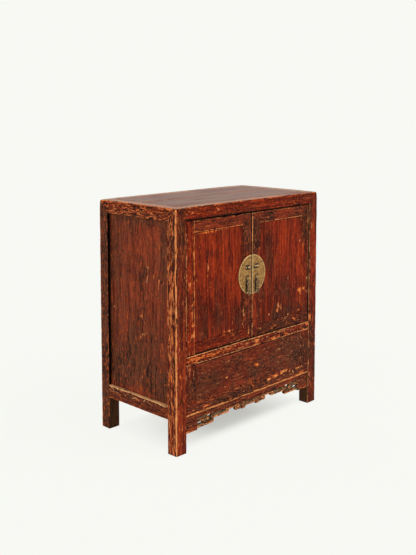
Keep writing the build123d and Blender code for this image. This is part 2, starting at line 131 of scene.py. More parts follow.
lacquerLook = {
    "deep": tint(74, 20, 9), "red": tint(136, 41, 16), "bright": tint(180, 62, 22),
    # the last of these is a near-black for dirt and for painted shade in gaps and under parts
    "brown": tint(80, 42, 26), "umber": tint(118, 68, 46), "soot": tint(22, 13, 8), "grime": tint(9, 6, 5),
    "rubbed": tint(180, 74, 28), "orange": tint(216, 114, 46), "ochre": tint(230, 150, 82),
    "pale": tint(212, 158, 108), "bareWood": tint(100, 66, 42), "olive": tint(116, 98, 68),
    # the top's colours: dust, lightened as a painted sheen, over darker streaks
    "dust": tint(162, 118, 90), "dustStreak": tint(92, 40, 24), "dustOld": tint(117, 83, 66),
    "shine": 0.035, "coat": 0.05, "coatRough": 0.3,
    "relief": 0.35, "reliefDeep": 0.0006,
}
# the lacquer's noises, in the order in which makeLacquer names them: repeats per metre across and
# along the grain, detail, roughness and steps
lacquerNoises = {
    "streaks": (165.0, 11.0, 4.0, 0.7, None),
    "bands": (64.0, 4.5, 3.0, 0.6, (7.0, 3.0, 1.0)),
    "clouds": (13.0, 6.0, 4.0, 0.65, (2.0, 9.0, 5.0)),
    "flecks": (150.0, 90.0, 4.0, 0.8, None),
    "dashes": (155.0, 24.0, 3.0, 0.7, (3.0, 1.0, 8.0)),
    "chips": (140.0, 56.0, 5.0, 0.72, (5.0, 5.0, 2.0)),
    "grit": (185.0, 105.0, 1.5, 0.6, (1.0, 6.0, 3.0)),
    "hairs": (400.0, 34.0, 2.0, 0.6, (8.0, 2.0, 4.0)),
    "planks": (26.0, 1.7, 4.0, 0.6, (6.0, 4.0, 2.0)),
    "fine": (900.0, 160.0, 2.0, 0.6, None),
}


def makeLacquer():
    look = lacquerLook
    f = Finish(bpy.data.materials.new("lacquer"))
    grain = f.attribute("grain", "Vector")
    worn, pale, tone, grime, bare, top, sunk, faded, mottled = (
        f.attribute(name)
        for name in ("worn", "pale", "tone", "grime", "bare", "top", "sunk", "faded", "mottled")
    )
    streaks, bands, clouds, flecks, dashes, chips, grit, hairs, planks, fine = (
        f.noise(grain, (across, across, along), detail, rough, steps)
        for across, along, detail, rough, steps in lacquerNoises.values()
    )

    # lacquer: red over a darker ground, streaked along the grain
    warmth = bands.swing(1.7) + streaks.swing(2.8) + flecks.swing(1.2) + tone * 0.5 + 0.36
    base = f.mix(warmth.between(0.02, 0.7), look["deep"], look["red"])
    base = f.mix(warmth.between(0.62, 1.15) * 0.85, base, look["bright"])
    aged = (clouds.swing(2.6) + streaks.swing(1.8) + flecks.swing(1.2) - tone * 0.8).between(0.0, 0.55)
    base = f.mix(aged * 0.8, base, look["brown"])
    base = f.mix(faded * (0.5 + bands.swing(1.2) + streaks.swing(1.9) + (grit - 0.5)), base, look["umber"])
    dark = (dashes.swing(3.0) + clouds.swing(1.6) + streaks.swing(0.8) - tone * 0.2).between(0.22, 0.42)
    base = f.mix(dark * mottled.atMost(0.55) * 1.45, base, look["soot"])
    dots = (grit + clouds.swing(0.4)).between(0.56, 0.66) * mottled
    base = f.mix(dots * 0.55, base, look["soot"])
    glints = ((1.0 - grit) + chips.swing(0.5)).between(0.6, 0.7) * mottled
    base = f.mix(glints * 0.5, base, look["rubbed"])
    scratches = (hairs + chips.swing(0.4) + worn * 0.1).between(0.68, 0.73) * mottled
    base = f.mix(scratches * 0.75, base, look["orange"])

    # where the lacquer is rubbed thin, then gone, with a dark rim
    wear = worn + chips.swing(2.4) + streaks.swing(0.9) + flecks.swing(0.9)
    rim = wear.between(0.24, 0.36) * (1.0 - wear.between(0.44, 0.5)) * worn.between(0.08, 0.3)
    base = f.mix(rim * dashes.between(0.4, 0.52) * 0.6, base, look["soot"])
    thin = wear.between(0.42, 0.56)
    base = f.mix(thin * 0.8, base, f.mix(pale, look["rubbed"], look["pale"]))
    lost = wear.between(0.58, 0.76)
    wood = f.mix(wear.between(0.75, 1.2), look["orange"], look["ochre"])
    base = f.mix(lost * 0.92, base, f.mix(pale, wood, look["pale"]))
    black = (dashes.swing(3.2) + grit.swing(1.2)).between(0.2, 0.36) * worn.between(0.12, 0.4)
    base = f.mix(black * 0.95, base, look["soot"])
    gone = thin * 0.4 + lost * 0.6

    # sunk carving, bare wood inside the legs, dust and a painted sheen on the top, dirt and painted shade in
    # gaps and corners
    base = f.mix(sunk * (1.0 - lost), base, f.mix(chips.between(0.4, 0.56), look["soot"], look["olive"]))
    oldWood = f.mix((streaks * 0.6 + bands * 0.4).between(0.32, 0.62), look["soot"], look["bareWood"])
    base = f.mix(bare, base, oldWood)
    dustAndSheenStreaks = (planks.swing(3.6) + bands.swing(1.4) + clouds.swing(1.0)).between(-0.1, 0.5)
    dust = f.mix(dustAndSheenStreaks, f.mix(faded, look["dust"], look["dustOld"]), look["dustStreak"])
    dust = f.mix(dots * 0.45 + hairs.between(0.56, 0.66) * 0.35, dust, look["dustStreak"])
    base = f.mix(top * (1.0 - thin * 0.6) * 0.9, base, dust)
    surface = {
        "Base Color": f.mix(grime, base, look["grime"]),
        "Roughness": 0.42 + fine.swing(0.15) + gone * 0.2 + bare * 0.3 + grime * 0.3 - top * 0.05,
        "Specular IOR Level": look["shine"],
        "Coat Weight": top * look["coat"],
        "Coat Roughness": look["coatRough"],
    }
    relief = streaks * 0.5 + fine * 0.35 - gone * 0.9 - dark * 0.3
    return f.finished(surface, relief, look["relief"], look["reliefDeep"])


plainLook = {
    "light": tint(150, 108, 66), "dark": tint(96, 62, 36), "shade": tint(60, 40, 26),
    # repeats per metre across and along the grain
    "grained": {"streaks": (150.0, 9.0), "figure": (22.0, 1.8), "pores": (750.0, 45.0)},
    "stain": (7.0, 7.0, 7.0), "shine": 0.3, "relief": 0.4, "reliefDeep": 0.0005,
}


def makePlainWood(name, across, lighter):
    # unfinished wood inside, grain along the axis that is left out of across
    look = plainLook
    f = Finish(bpy.data.materials.new(name))
    place = f.node("ShaderNodeTexCoord", {}, {}, "Object")
    scales = {}
    for key, (wide, along) in look["grained"].items():
        scales[key] = tuple(wide if axis in across else along for axis in "xyz")
    streaks = f.noise(place, scales["streaks"], 3.0, 0.6)
    figure = f.noise(place, scales["figure"], 3.0, 0.5, bend=0.6)
    pores = f.noise(place, scales["pores"], 1.0, 0.5)
    stain = f.noise(place, look["stain"], 3.0, 0.6)
    colour = f.mix((figure * 0.6 + streaks * 0.5).between(0.35, 0.75), look["dark"], look["light"])
    for share in (stain.between(0.45, 0.75) * 0.6, pores.between(0.62, 0.72) * 0.5, 1.0 - lighter):
        colour = f.mix(share, colour, look["shade"])
    rough = 0.72 + streaks.swing(0.2)
    surface = {"Base Color": colour, "Roughness": rough, "Specular IOR Level": look["shine"]}
    return f.finished(surface, streaks * 0.6 + pores * 0.4, look["relief"], look["reliefDeep"])


brassLook = {
    "gold": tint(182, 138, 77), "brown": tint(128, 86, 44), "rim": tint(232, 196, 136),
    "dirt": tint(58, 40, 22), "soot": tint(14, 10, 8), "steel": tint(96, 84, 64),
    "blotches": (85.0, 85.0, 85.0), "spots": (260.0, 260.0, 260.0), "scratches": (900.0, 300.0, 240.0),
    "relief": 0.35, "reliefDeep": 0.0008,
}


def makeBrass(name, silver, dirt):
    look = brassLook
    f = Finish(bpy.data.materials.new(name))
    place = f.node("ShaderNodeTexCoord", {}, {}, "Object")
    blotch = f.noise(place, look["blotches"], 4.0, 0.65)
    spots = f.noise(place, look["spots"], 3.0, 0.65, (4.0, 1.0, 6.0))
    scratch = f.noise(place, look["scratches"], 2.0, 0.6)
    edge = f.attribute("edge")
    colour = f.mix(blotch.between(0.35, 0.68), look["gold"], look["brown"])
    colour = f.mix(silver, colour, look["steel"])
    # a pale rim colour on rubbed edges and high places, partly painted highlights, such as the right half's
    # edge at the gap
    colour = f.mix(edge * 0.7, colour, look["rim"])
    marks = (spots.swing(1.6) + blotch.swing(0.8)).between(0.2, 0.36)
    colour = f.mix(marks * dirt, colour, look["dirt"])
    # near-black where painted shade and dirt lie round the fittings
    black = (f.attribute("grime") + spots.swing(0.7)).between(0.3, 0.66)
    surface = {
        "Base Color": f.mix(black * 0.95, colour, look["soot"]),
        "Metallic": 0.85 - marks * 0.3 - black * 0.5,
        "Roughness": 0.4 + marks * 0.25 + black * 0.3 + scratch.swing(0.2) - edge * 0.12,
    }
    relief = blotch * 0.8 + spots * 0.5 + scratch * 0.15 - marks * 0.4
    return f.finished(surface, relief, look["relief"], look["reliefDeep"])


lacquer = makeLacquer()
plateBrass = makeBrass("plateBrass", 0.0, 0.55)
pullBrass = makeBrass("pullBrass", 0.35, 0.7)
innerWood = makePlainWood("innerWood", "yz", 0.75)
innerWoodDeep = makePlainWood("innerWoodDeep", "xz", 0.7)
print("finishes made")


# Where the frame's members stand

def span(node):
    low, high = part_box(node)
    return np.array(low), np.array(high)


(leftOut, frontOut), (leftIn, frontIn) = (ends[:2] for ends in span("post_front_left"))
(rightIn, backIn), (rightOut, backOut) = (ends[:2] for ends in span("post_back_right"))
cabinetTop = span("post_front_left")[1][2]
topUnder = span("top_rail_front")[0][2]
midUnder, midTop = (ends[2] for ends in span("mid_rail_front"))
bottomTop = span("bottom_rail_front")[1][2]
sideTop = span("bottom_rail_left")[1][2]
postWide = leftIn - leftOut
postDeep = frontIn - frontOut
railHigh = cabinetTop - topUnder

# Worn places on the front: from the left edge, up from the floor, half width, half height in mm,
# how worn and how pale
frontMarks = [
    (70, 619, 7, 12, 1.0, 0.15), (66, 600, 5, 8, 0.8, 0.1), (84, 520, 4, 30, 1.0, 0.15),
    (86, 470, 3.5, 24, 0.8, 0.2), (86, 421, 7, 16, 1.0, 0.2), (92, 560, 1.8, 70, 0.9, 0.0),
    (93, 700, 1.6, 90, 0.8, 0.1), (93, 800, 1.5, 40, 0.6, 0.3), (93, 440, 2, 50, 0.8, 0.1),
    (166, 668, 5, 20, 1.0, 0.2), (163, 640, 4, 12, 0.7, 0.1), (175, 606, 4, 16, 0.6, 0.1),
    (300, 487, 16, 5, 0.75, 0.0), (360, 466, 6, 18, 0.85, 0.45), (358, 430, 4, 20, 0.6, 0.45),
    (388, 384, 3, 12, 0.9, 0.3), (285, 408, 18, 6, 0.8, 0.35), (255, 412, 12, 4, 0.6, 0.4),
    (150, 800, 60, 4.5, 0.85, 0.0), (240, 802, 50, 3.5, 0.6, 0.1),
    (120, 790, 14, 6, 0.55, 0.0), (195, 795, 12, 10, 0.5, 0.0),
    (505, 808, 60, 3, 0.5, 0.2), (660, 809, 60, 3, 0.45, 0.2),
    (705, 500, 11, 11, 1.0, 0.1), (712, 488, 6, 8, 0.8, 0.1), (733, 503, 8, 8, 1.0, 0.1),
    (575, 456, 16, 10, 0.85, 0.3), (562, 440, 9, 10, 0.9, 0.1), (590, 445, 10, 12, 0.65, 0.3),
    (705, 416, 8, 5, 1.0, 0.05), (709, 455, 3, 26, 0.7, 0.0), (705, 706, 7, 3.5, 0.8, 0.7),
    (615, 400, 7, 7, 0.9, 0.5), (635, 409, 7, 5, 0.85, 0.5), (675, 383, 12, 8, 1.0, 0.05),
    (690, 395, 8, 4, 0.7, 0.1), (528, 372, 9, 5, 0.85, 0.1), (548, 381, 8, 5, 0.75, 0.05),
    (514, 430, 4.5, 4, 0.85, 0.8), (628, 560, 5, 6, 0.8, 0.9), (757, 543, 10, 5, 0.9, 0.8),
    (458, 385, 5, 3, 0.6, 0.6), (640, 372, 20, 4, 0.4, 0.1), (430, 470, 6, 50, 0.3, 0.0),
    (415, 500, 4, 60, 0.35, 0.0), (595, 612, 8, 5, 0.45, 0.0), (440, 600, 6, 5, 0.4, 0.0),
    (100, 340, 60, 12, 0.85, 0.05), (170, 341, 60, 11, 0.78, 0.05), (250, 342, 60, 8, 0.68, 0.05),
    (340, 338, 50, 8, 0.4, 0.1), (437, 340, 16, 14, 0.95, 0.2), (428, 330, 14, 10, 0.8, 0.1),
    (530, 329, 28, 7, 0.8, 0.05), (580, 335, 30, 6, 0.6, 0.05), (618, 334, 14, 7, 0.8, 0.05),
    (720, 334, 26, 9, 0.8, 0.1), (755, 346, 18, 12, 0.75, 0.1), (775, 366, 9, 18, 0.8, 0.1),
    (70, 366, 20, 3, 0.5, 0.1), (230, 362, 60, 3, 0.55, 0.15), (340, 363, 50, 3.5, 0.7, 0.25),
    (62, 306, 9, 7, 0.7, 0.5), (265, 232, 10, 3.5, 1.4, 0.3), (222, 219, 8, 3, 0.6, 0.5),
    (258, 278, 14, 8, 0.42, 0.0), (250, 268, 10, 9, 0.5, 0.0), (435, 243, 12, 8, 1.0, 0.0),
    (395, 191, 10, 7, 0.78, 0.0), (405, 178, 8, 8, 0.6, 0.0), (418, 163, 9, 9, 0.6, 0.0),
    (510, 166, 13, 5, 1.6, 0.05), (548, 171, 18, 4.5, 1.4, 0.1), (600, 175, 14, 6, 1.7, 0.2),
    (588, 172, 8, 5, 1.4, 0.1), (618, 176, 8, 5, 1.3, 0.3), (641, 170, 6, 4.5, 1.4, 0.3),
    (662, 163, 5, 4, 1.2, 0.5), (688, 171, 6, 4, 1.4, 0.2), (700, 173, 5, 4, 1.3, 0.2),
    (612, 203, 10, 3.5, 0.75, 0.0), (684, 204, 8, 3, 0.6, 0.1), (575, 277, 9, 2.5, 0.8, 0.5),
    (680, 280, 14, 4, 0.55, 0.0), (590, 249, 6, 4, 0.5, 0.2), (400, 306, 16, 6, 0.5, 0.0),
    (110, 318, 30, 4, 0.4, 0.2), (380, 318, 80, 5, 0.45, 0.1), (520, 312, 60, 6, 0.4, 0.0),
    (190, 172, 90, 1.8, 0.62, 0.45), (150, 154, 16, 5, 0.62, 0.1), (170, 150, 14, 4, 0.6, 0.05),
    (125, 165, 10, 8, 0.45, 0.3), (90, 152, 20, 3, 0.55, 0.4), (715, 146, 36, 8, 0.7, 0.1),
    (640, 143, 30, 4, 0.5, 0.1), (96, 92, 12, 14, 0.6, 0.0), (82, 80, 18, 6, 0.85, 0.0),
    (735, 88, 20, 8, 0.5, 0.0), (213, 881, 7, 7, 0.95, 0.25), (84, 880, 8, 8, 0.7, 0.2),
    (110, 870, 14, 5, 0.4, 0.0), (555, 876, 30, 5, 0.42, 0.0), (640, 880, 40, 4, 0.4, 0.0),
    (730, 878, 20, 10, 0.4, 0.3), (30, 435, 14, 26, 0.5, 0.0), (20, 290, 8, 14, 0.72, 0.0),
    (25, 180, 14, 60, 0.42, 0.0), (30, 100, 12, 30, 0.45, 0.2), (795, 690, 8, 14, 0.5, 0.0),
    (35, 340, 12, 40, 0.5, 0.0), (788, 480, 6, 20, 0.3, 0.0), (54, 605, 1.5, 240, 1.4, 0.6),
    (759, 605, 1.5, 240, 1.3, 0.4), (410, 765, 2.4, 90, 1.25, 0.55),
]

# Darker (below 0) and redder (above 0) places on the front, in the same measures
frontTones = [
    (30, 800, 22, 110, -0.65), (8, 600, 8, 200, -0.5), (30, 540, 18, 130, -0.5), (28, 230, 20, 150, 0.1),
    (225, 700, 110, 110, 0.35), (185, 715, 40, 20, -0.5), (210, 500, 130, 70, -0.22),
    (240, 440, 90, 30, -0.2), (380, 760, 22, 100, -0.75),
    (355, 720, 8, 80, -0.5), (305, 560, 40, 60, 0.25), (130, 500, 30, 60, -0.15),
    (225, 830, 130, 14, -0.1), (502, 700, 24, 100, -0.5), (640, 710, 90, 90, 0.45),
    (425, 760, 18, 80, -0.4), (425, 470, 16, 70, 0.85), (600, 520, 120, 50, -0.25),
    (600, 420, 110, 30, -0.45), (600, 380, 130, 18, -0.6), (745, 700, 14, 140, -0.3),
    (225, 380, 160, 16, 0.35), (74, 600, 18, 220, 0.35), (74, 400, 18, 60, 0.3), (700, 640, 20, 60, 0.5),
    (480, 640, 20, 60, 0.1), (430, 600, 20, 60, 0.2), (795, 600, 20, 260, 0.25),
    (200, 250, 140, 70, -0.35), (700, 240, 70, 60, -1.1), (400, 225, 30, 25, -0.8),
    (560, 230, 110, 60, -0.55), (430, 170, 40, 20, 0.1), (400, 156, 350, 12, -0.7),
    (400, 120, 350, 12, 0.0), (790, 640, 16, 180, 0.25), (790, 200, 16, 160, 0.0),
    (300, 880, 200, 14, 0.2), (650, 880, 120, 12, 0.2), (130, 215, 40, 60, -0.5),
]

# The same on the left side, measured from the front edge
leftMarks = [
    (165, 668, 9, 6, 0.95, 0.5), (160, 652, 5, 6, 0.6, 0.5), (168, 625, 4, 22, 0.75, 0.5),
    (98, 627, 14, 8, 0.7, 0.3), (103, 606, 6, 14, 0.6, 0.3), (88, 618, 8, 5, 0.5, 0.3),
    (135, 640, 6, 12, 0.55, 0.4), (200, 481, 9, 7, 0.95, 0.15), (194, 470, 6, 5, 0.7, 0.1),
    (174, 466, 3, 10, 0.7, 0.1), (190, 413, 8, 4, 0.85, 0.4), (178, 421, 5, 3, 0.75, 0.4),
    (204, 401, 4, 6, 0.75, 0.3), (169, 556, 3, 12, 0.7, 0.5), (172, 530, 3, 14, 0.6, 0.4),
    (355, 491, 6, 3, 0.8, 0.6), (318, 700, 2.5, 40, 0.45, 0.3), (272, 272, 9, 6, 0.6, 0.0),
    (283, 216, 9, 4, 0.6, 0.0), (255, 232, 5, 5, 0.5, 0.0), (70, 248, 4, 5, 0.6, 0.0),
    (145, 157, 8, 4, 0.75, 0.1), (216, 158, 5, 4, 0.8, 0.1), (90, 160, 26, 6, 0.5, 0.1),
    (120, 138, 40, 4, 0.5, 0.2), (60, 150, 14, 12, 0.55, 0.1), (300, 165, 60, 4, 0.45, 0.3),
    (393, 255, 6, 20, 0.6, 0.0), (390, 360, 6, 14, 0.5, 0.1), (409, 477, 9, 5, 0.7, 0.0),
    (392, 296, 8, 8, 0.5, 0.0), (385, 230, 6, 26, 0.5, 0.0), (20, 820, 12, 20, 0.7, 0.2),
    (10, 650, 8, 60, 0.55, 0.2), (34, 500, 10, 60, 0.6, 0.0), (16, 440, 10, 60, 0.6, 0.0),
    (30, 280, 14, 30, 0.75, 0.0), (18, 150, 16, 16, 0.7, 0.1), (26, 84, 14, 22, 0.65, 0.0),
    (90, 855, 30, 4, 0.8, 0.1), (60, 866, 18, 10, 0.6, 0.1), (110, 872, 24, 8, 0.6, 0.05),
    (200, 868, 50, 4, 0.6, 0.1), (280, 860, 60, 3, 0.6, 0.2), (150, 884, 60, 5, 0.62, 0.1),
    (290, 884, 50, 4, 0.45, 0.1), (240, 878, 14, 8, 0.5, 0.0),
]

leftTones = [
    # the dark band 840 mm up, just under the top rail, is a painted shadow line
    (200, 740, 60, 70, 0.7), (140, 700, 26, 120, 0.2), (210, 840, 160, 16, -0.9),
    (75, 700, 22, 120, -0.8), (260, 790, 40, 30, -0.3), (180, 560, 80, 50, 0.5),
    (330, 600, 34, 260, -0.4), (130, 400, 50, 60, -0.5), (250, 380, 40, 80, -0.7),
    (200, 280, 100, 60, -0.9), (90, 240, 40, 50, -1.0), (330, 250, 40, 60, -0.8),
    (285, 430, 8, 90, 0.6), (255, 560, 10, 60, 0.4), (297, 330, 5, 70, 0.8), (165, 420, 8, 80, 0.5),
    (25, 560, 30, 300, -0.2), (220, 150, 160, 20, -0.6), (400, 500, 30, 350, -0.6),
    (62, 440, 10, 120, 0.7), (250, 188, 110, 8, 0.9), (180, 875, 120, 16, 0.1), (115, 790, 20, 40, 0.5),
    (22, 775, 24, 70, -0.6), (9, 480, 8, 380, -0.5),
]

# Places on the left side that have kept more of their lacquer, in the same measures
leftSpared = [(22, 775, 24, 70, 0.13), (9, 500, 7, 300, 0.2), (20, 240, 24, 26, 0.1)]


def squaredFrom(mark, across, up, grown=1.0):
    # squared distance from a mark's middle, 1 where the mark ends
    return ((across - mark[0]) / (grown * mark[2])) ** 2 + ((up - mark[1]) / (grown * mark[3])) ** 2


markLook = {"strength": 0.8, "grown": 1.25, "steepness": 1.3}


def sumMarks(marks, across, up):
    # how worn and how pale the marks leave each point; the strongest mark counts
    worn, pale = np.zeros((2, len(across)))
    for mark in marks:
        reach = np.exp(-(squaredFrom(mark, across, up, markLook["grown"]) ** markLook["steepness"]))
        amount = markLook["strength"] * mark[4] * reach
        pale = np.where(amount > worn, mark[5], pale)
        worn = np.maximum(worn, amount)
    return worn, pale


def sumTones(marks, across, up):
    total = np.zeros(len(across))
    for mark in marks:
        total += mark[4] * np.exp(-squaredFrom(mark, across, up))
    return total


def noiseAt(points, scale, seed):
    offset = Vector((seed, seed * 1.7, seed * 0.3))
    return np.array([noise.noise(Vector(point) * scale + offset) for point in points])


def hill(value, centre, width):
    # 1 at the centre, falling off on both sides
    exp = np.exp if isinstance(value, np.ndarray) else math.exp
    return exp(-(((value - centre) / width) ** 2))


def circle(count):
    return [2 * math.pi * k / count for k in range(count)]


def addMesh(name, points, faces, finish, values=None, sharp=38.0, weld=False):
    mesh = bpy.data.meshes.new(name)
    mesh.from_pydata([tuple(point) for point in points], [], faces)
    mesh.materials.append(finish)
    for key, data in (values or {}).items():
        kind, field = ("FLOAT_VECTOR", "vector") if data.ndim == 2 else ("FLOAT", "value")
        mesh.attributes.new(key, kind, "POINT").data.foreach_set(field, data.astype(np.float32).ravel())
    shell = bmesh.new()
    shell.from_mesh(mesh)
    if weld:
        bmesh.ops.remove_doubles(shell, verts=shell.verts, dist=1e-7)
    bmesh.ops.recalc_face_normals(shell, faces=shell.faces)
    shell.to_mesh(mesh)
    shell.free()
    mesh.polygons.foreach_set("use_smooth", [True] * len(mesh.polygons))
    mesh.set_sharp_from_angle(angle=math.radians(sharp))
    piece = bpy.data.objects.new(name, mesh)
    bpy.context.scene.collection.objects.link(piece)
    return piece


def dress(piece, body, node):
    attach(piece, body)
    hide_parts(node)


cornerLook = {
    "edge": 2.2,  # mm, rounding of the cabinet's outer edges
    "corner": 7.5,  # mm, at its top corners, where hands and moving have worn it
    "foot": 3.5,
    "reach": 26.0,
}


def softenCorners(points):
    # rounds the cabinet's own corners, more at the top than at the feet; points in mm
    outer = np.array([rightOut, backOut, cabinetTop]) / mm
    depth = outer - np.abs(points)
    footDepth = depth.copy()
    footDepth[:, 2] = points[:, 2]
    edge, reach = cornerLook["edge"], cornerLook["reach"]
    for inward, most, upwards in ((depth, cornerLook["corner"], -1), (footDepth, cornerLook["foot"], 1)):
        apart = np.linalg.norm(np.maximum(inward, 0.0), axis=1)
        radius = edge + (most - edge) * np.exp(-(apart / reach) ** 2)
        lacking = np.maximum(radius[:, None] - inward, 0.0)
        lacking[:, 2] = np.where(apart < 3 * reach, lacking[:, 2], 0.0)
        total = np.linalg.norm(lacking, axis=1)
        over = (total > radius) & (total > 1e-6)
        shrunk = np.where(over[:, None], lacking * (radius / np.maximum(total, 1e-6))[:, None], lacking)
        step = lacking - shrunk
        points[:, :2] -= np.sign(points[:, :2]) * step[:, :2]
        points[:, 2] += upwards * step[:, 2]
    return points


def joined(parts):
    # several (points, faces) shapes as one
    points, faces, start = [], [], 0
    for shapePoints, shapeFaces in parts:
        points.append(shapePoints)
        faces += [tuple(start + corner for corner in face) for face in shapeFaces]
        start += len(shapePoints)
    return np.vstack(points), faces


def quadsBetween(count, around, looped=False):
    # the faces between closed loops of points
    faces = []
    for s in range(count if looped else count - 1):
        for r in range(around):
            n, t = (r + 1) % around, (s + 1) % count
            faces.append((s * around + r, s * around + n, t * around + n, t * around + r))
    return faces


def tube(rows, looped=False):
    # closed loops of points carried along; the ends are filled unless the tube meets itself
    rows = np.array(rows)
    count, around = rows.shape[:2]
    points, faces = rows.reshape(-1, 3), quadsBetween(count, around, looped)
    if not looped:
        total, last = count * around, (count - 1) * around
        points = np.vstack([points, rows[0].mean(0), rows[-1].mean(0)])
        for r in range(around):
            n = (r + 1) % around
            faces += [(total, n, r), (total + 1, last + r, last + n)]
    return points, faces


def lathe(centre, profile, turns, petals=0, petalDeep=0.0):
    # a turned shape that stands out towards the front; profile holds (radius, height) pairs
    rows = []
    for radius, rise in profile:
        row = []
        for angle in circle(turns):
            wide = radius * (1 - petalDeep * (0.5 - 0.5 * math.cos(petals * angle)))
            x, z = centre[0] + wide * math.cos(angle), centre[2] + wide * math.sin(angle)
            row.append((x, centre[1] - rise, z))
        rows.append(row)
    return tube(rows)


def ring(centre, axis, radius, wire, turns, sides, wide=1.0):
    # a bent wire; wide stretches the wire along the ring's axis
    a, b = [k for k in range(3) if k != axis]
    rows = []
    for k in range(turns):
        angle = math.radians(360.0 * k / turns)
        row = []
        for tilt in circle(sides):
            out = radius + wire * math.cos(tilt)
            point = [0.0, 0.0, 0.0]
            point[a] = centre[a] + out * math.cos(angle)
            point[b] = centre[b] + out * math.sin(angle)
            point[axis] = centre[axis] + wire * wide * math.sin(tilt)
            row.append(point)
        rows.append(row)
    return tube(rows, True)


# Members: a rounded section carried along the grain, with worn arrises and end cuts of any slope

sideNames = {
    "x": ("bottom", "back", "top", "front"),
    "y": ("bottom", "right", "top", "left"),
    "z": ("front", "right", "back", "left"),
}
axisOrder = {"x": (1, 2, 0), "y": (0, 2, 1), "z": (0, 1, 2)}
# what a member has unless its own look says otherwise
memberLook = {
    "radius": 1.3,  # mm, of a long edge; radii gives single ones
    "radii": {},
    "fine": 5.0,  # mm between points on a face that shows
    "coarse": 22.0,
    "wave": 0.35,  # mm that a hand-planed face wanders
    "wornDeep": 0.25,  # mm that worn places lie lower
    "marksDeep": 16,  # mm behind the cabinet's faces to which the marks reach
    "pattern": 4000,  # mm of grain from which each member takes its own place
    "lowInset": 0.35,  # mm that each end lies inside the frame's own
    "highInset": 0.35,
    "everyArris": (0.0, 0.0),  # how worn, how pale and over how many mm; worn gives single ones
    "worn": {},
    "wearWidth": 3.2,
    "chipped": True,
    "arrisDirt": {},  # painted shade in gaps along an arris, and dirt: how dark and over how many mm
    # how far a top's dust and painted sheen thin out towards an arris: how much and over how many mm
    "arrisClean": {},
    "faceWorn": {}, "facePale": {}, "faceTone": {}, "tone": 0.0, "faded": 0.0, "mottled": 1.0,
    # the sides that lie in a gap get painted shade
    "bare": "", "grimy": "",
    "shaded": {},  # mm above the floor from which a face lies in the dark
    # a top face gets dust and a painted sheen in its colour, and a clear coat
    "polished": False,
    "seams": {}, "seamDeep": 0.8, "seamWide": 0.9,
    "figure": 4.0,  # mm that the grain wanders
    "shortGrain": 1.0,
    "slot": "lacquer",
}


def arrisValue(table, names, side, otherwise):
    # what a table says about the edge between this side and the one before it
    for pair, value in table.items():
        if set(pair.split()) == {names[side], names[side - 1]}:
            return value
    return otherwise


def stopsBetween(length, clearStart, clearEnd, step, extra):
    # where a face has its points, in mm: closer together beside its two arrises
    beside, closest = (2.0, 5.5), 0.35
    stops = {round(clearStart, 3), round(length - clearEnd, 3)}
    for further in beside:
        if clearStart + further < length / 2:
            stops.add(clearStart + further)
        if clearEnd + further < length / 2:
            stops.add(length - clearEnd - further)
    first, last = clearStart + beside[1], length - clearEnd - beside[1]
    count = max(1, round((last - first) / step))
    if last > first:
        stops.update(first + (last - first) * k / count for k in range(count + 1))
    stops.update(stop for stop in extra if clearStart < stop < length - clearEnd)
    kept = []
    for stop in sorted(stops):
        if not kept or stop - kept[-1] > closest:
            kept.append(stop)
    return kept


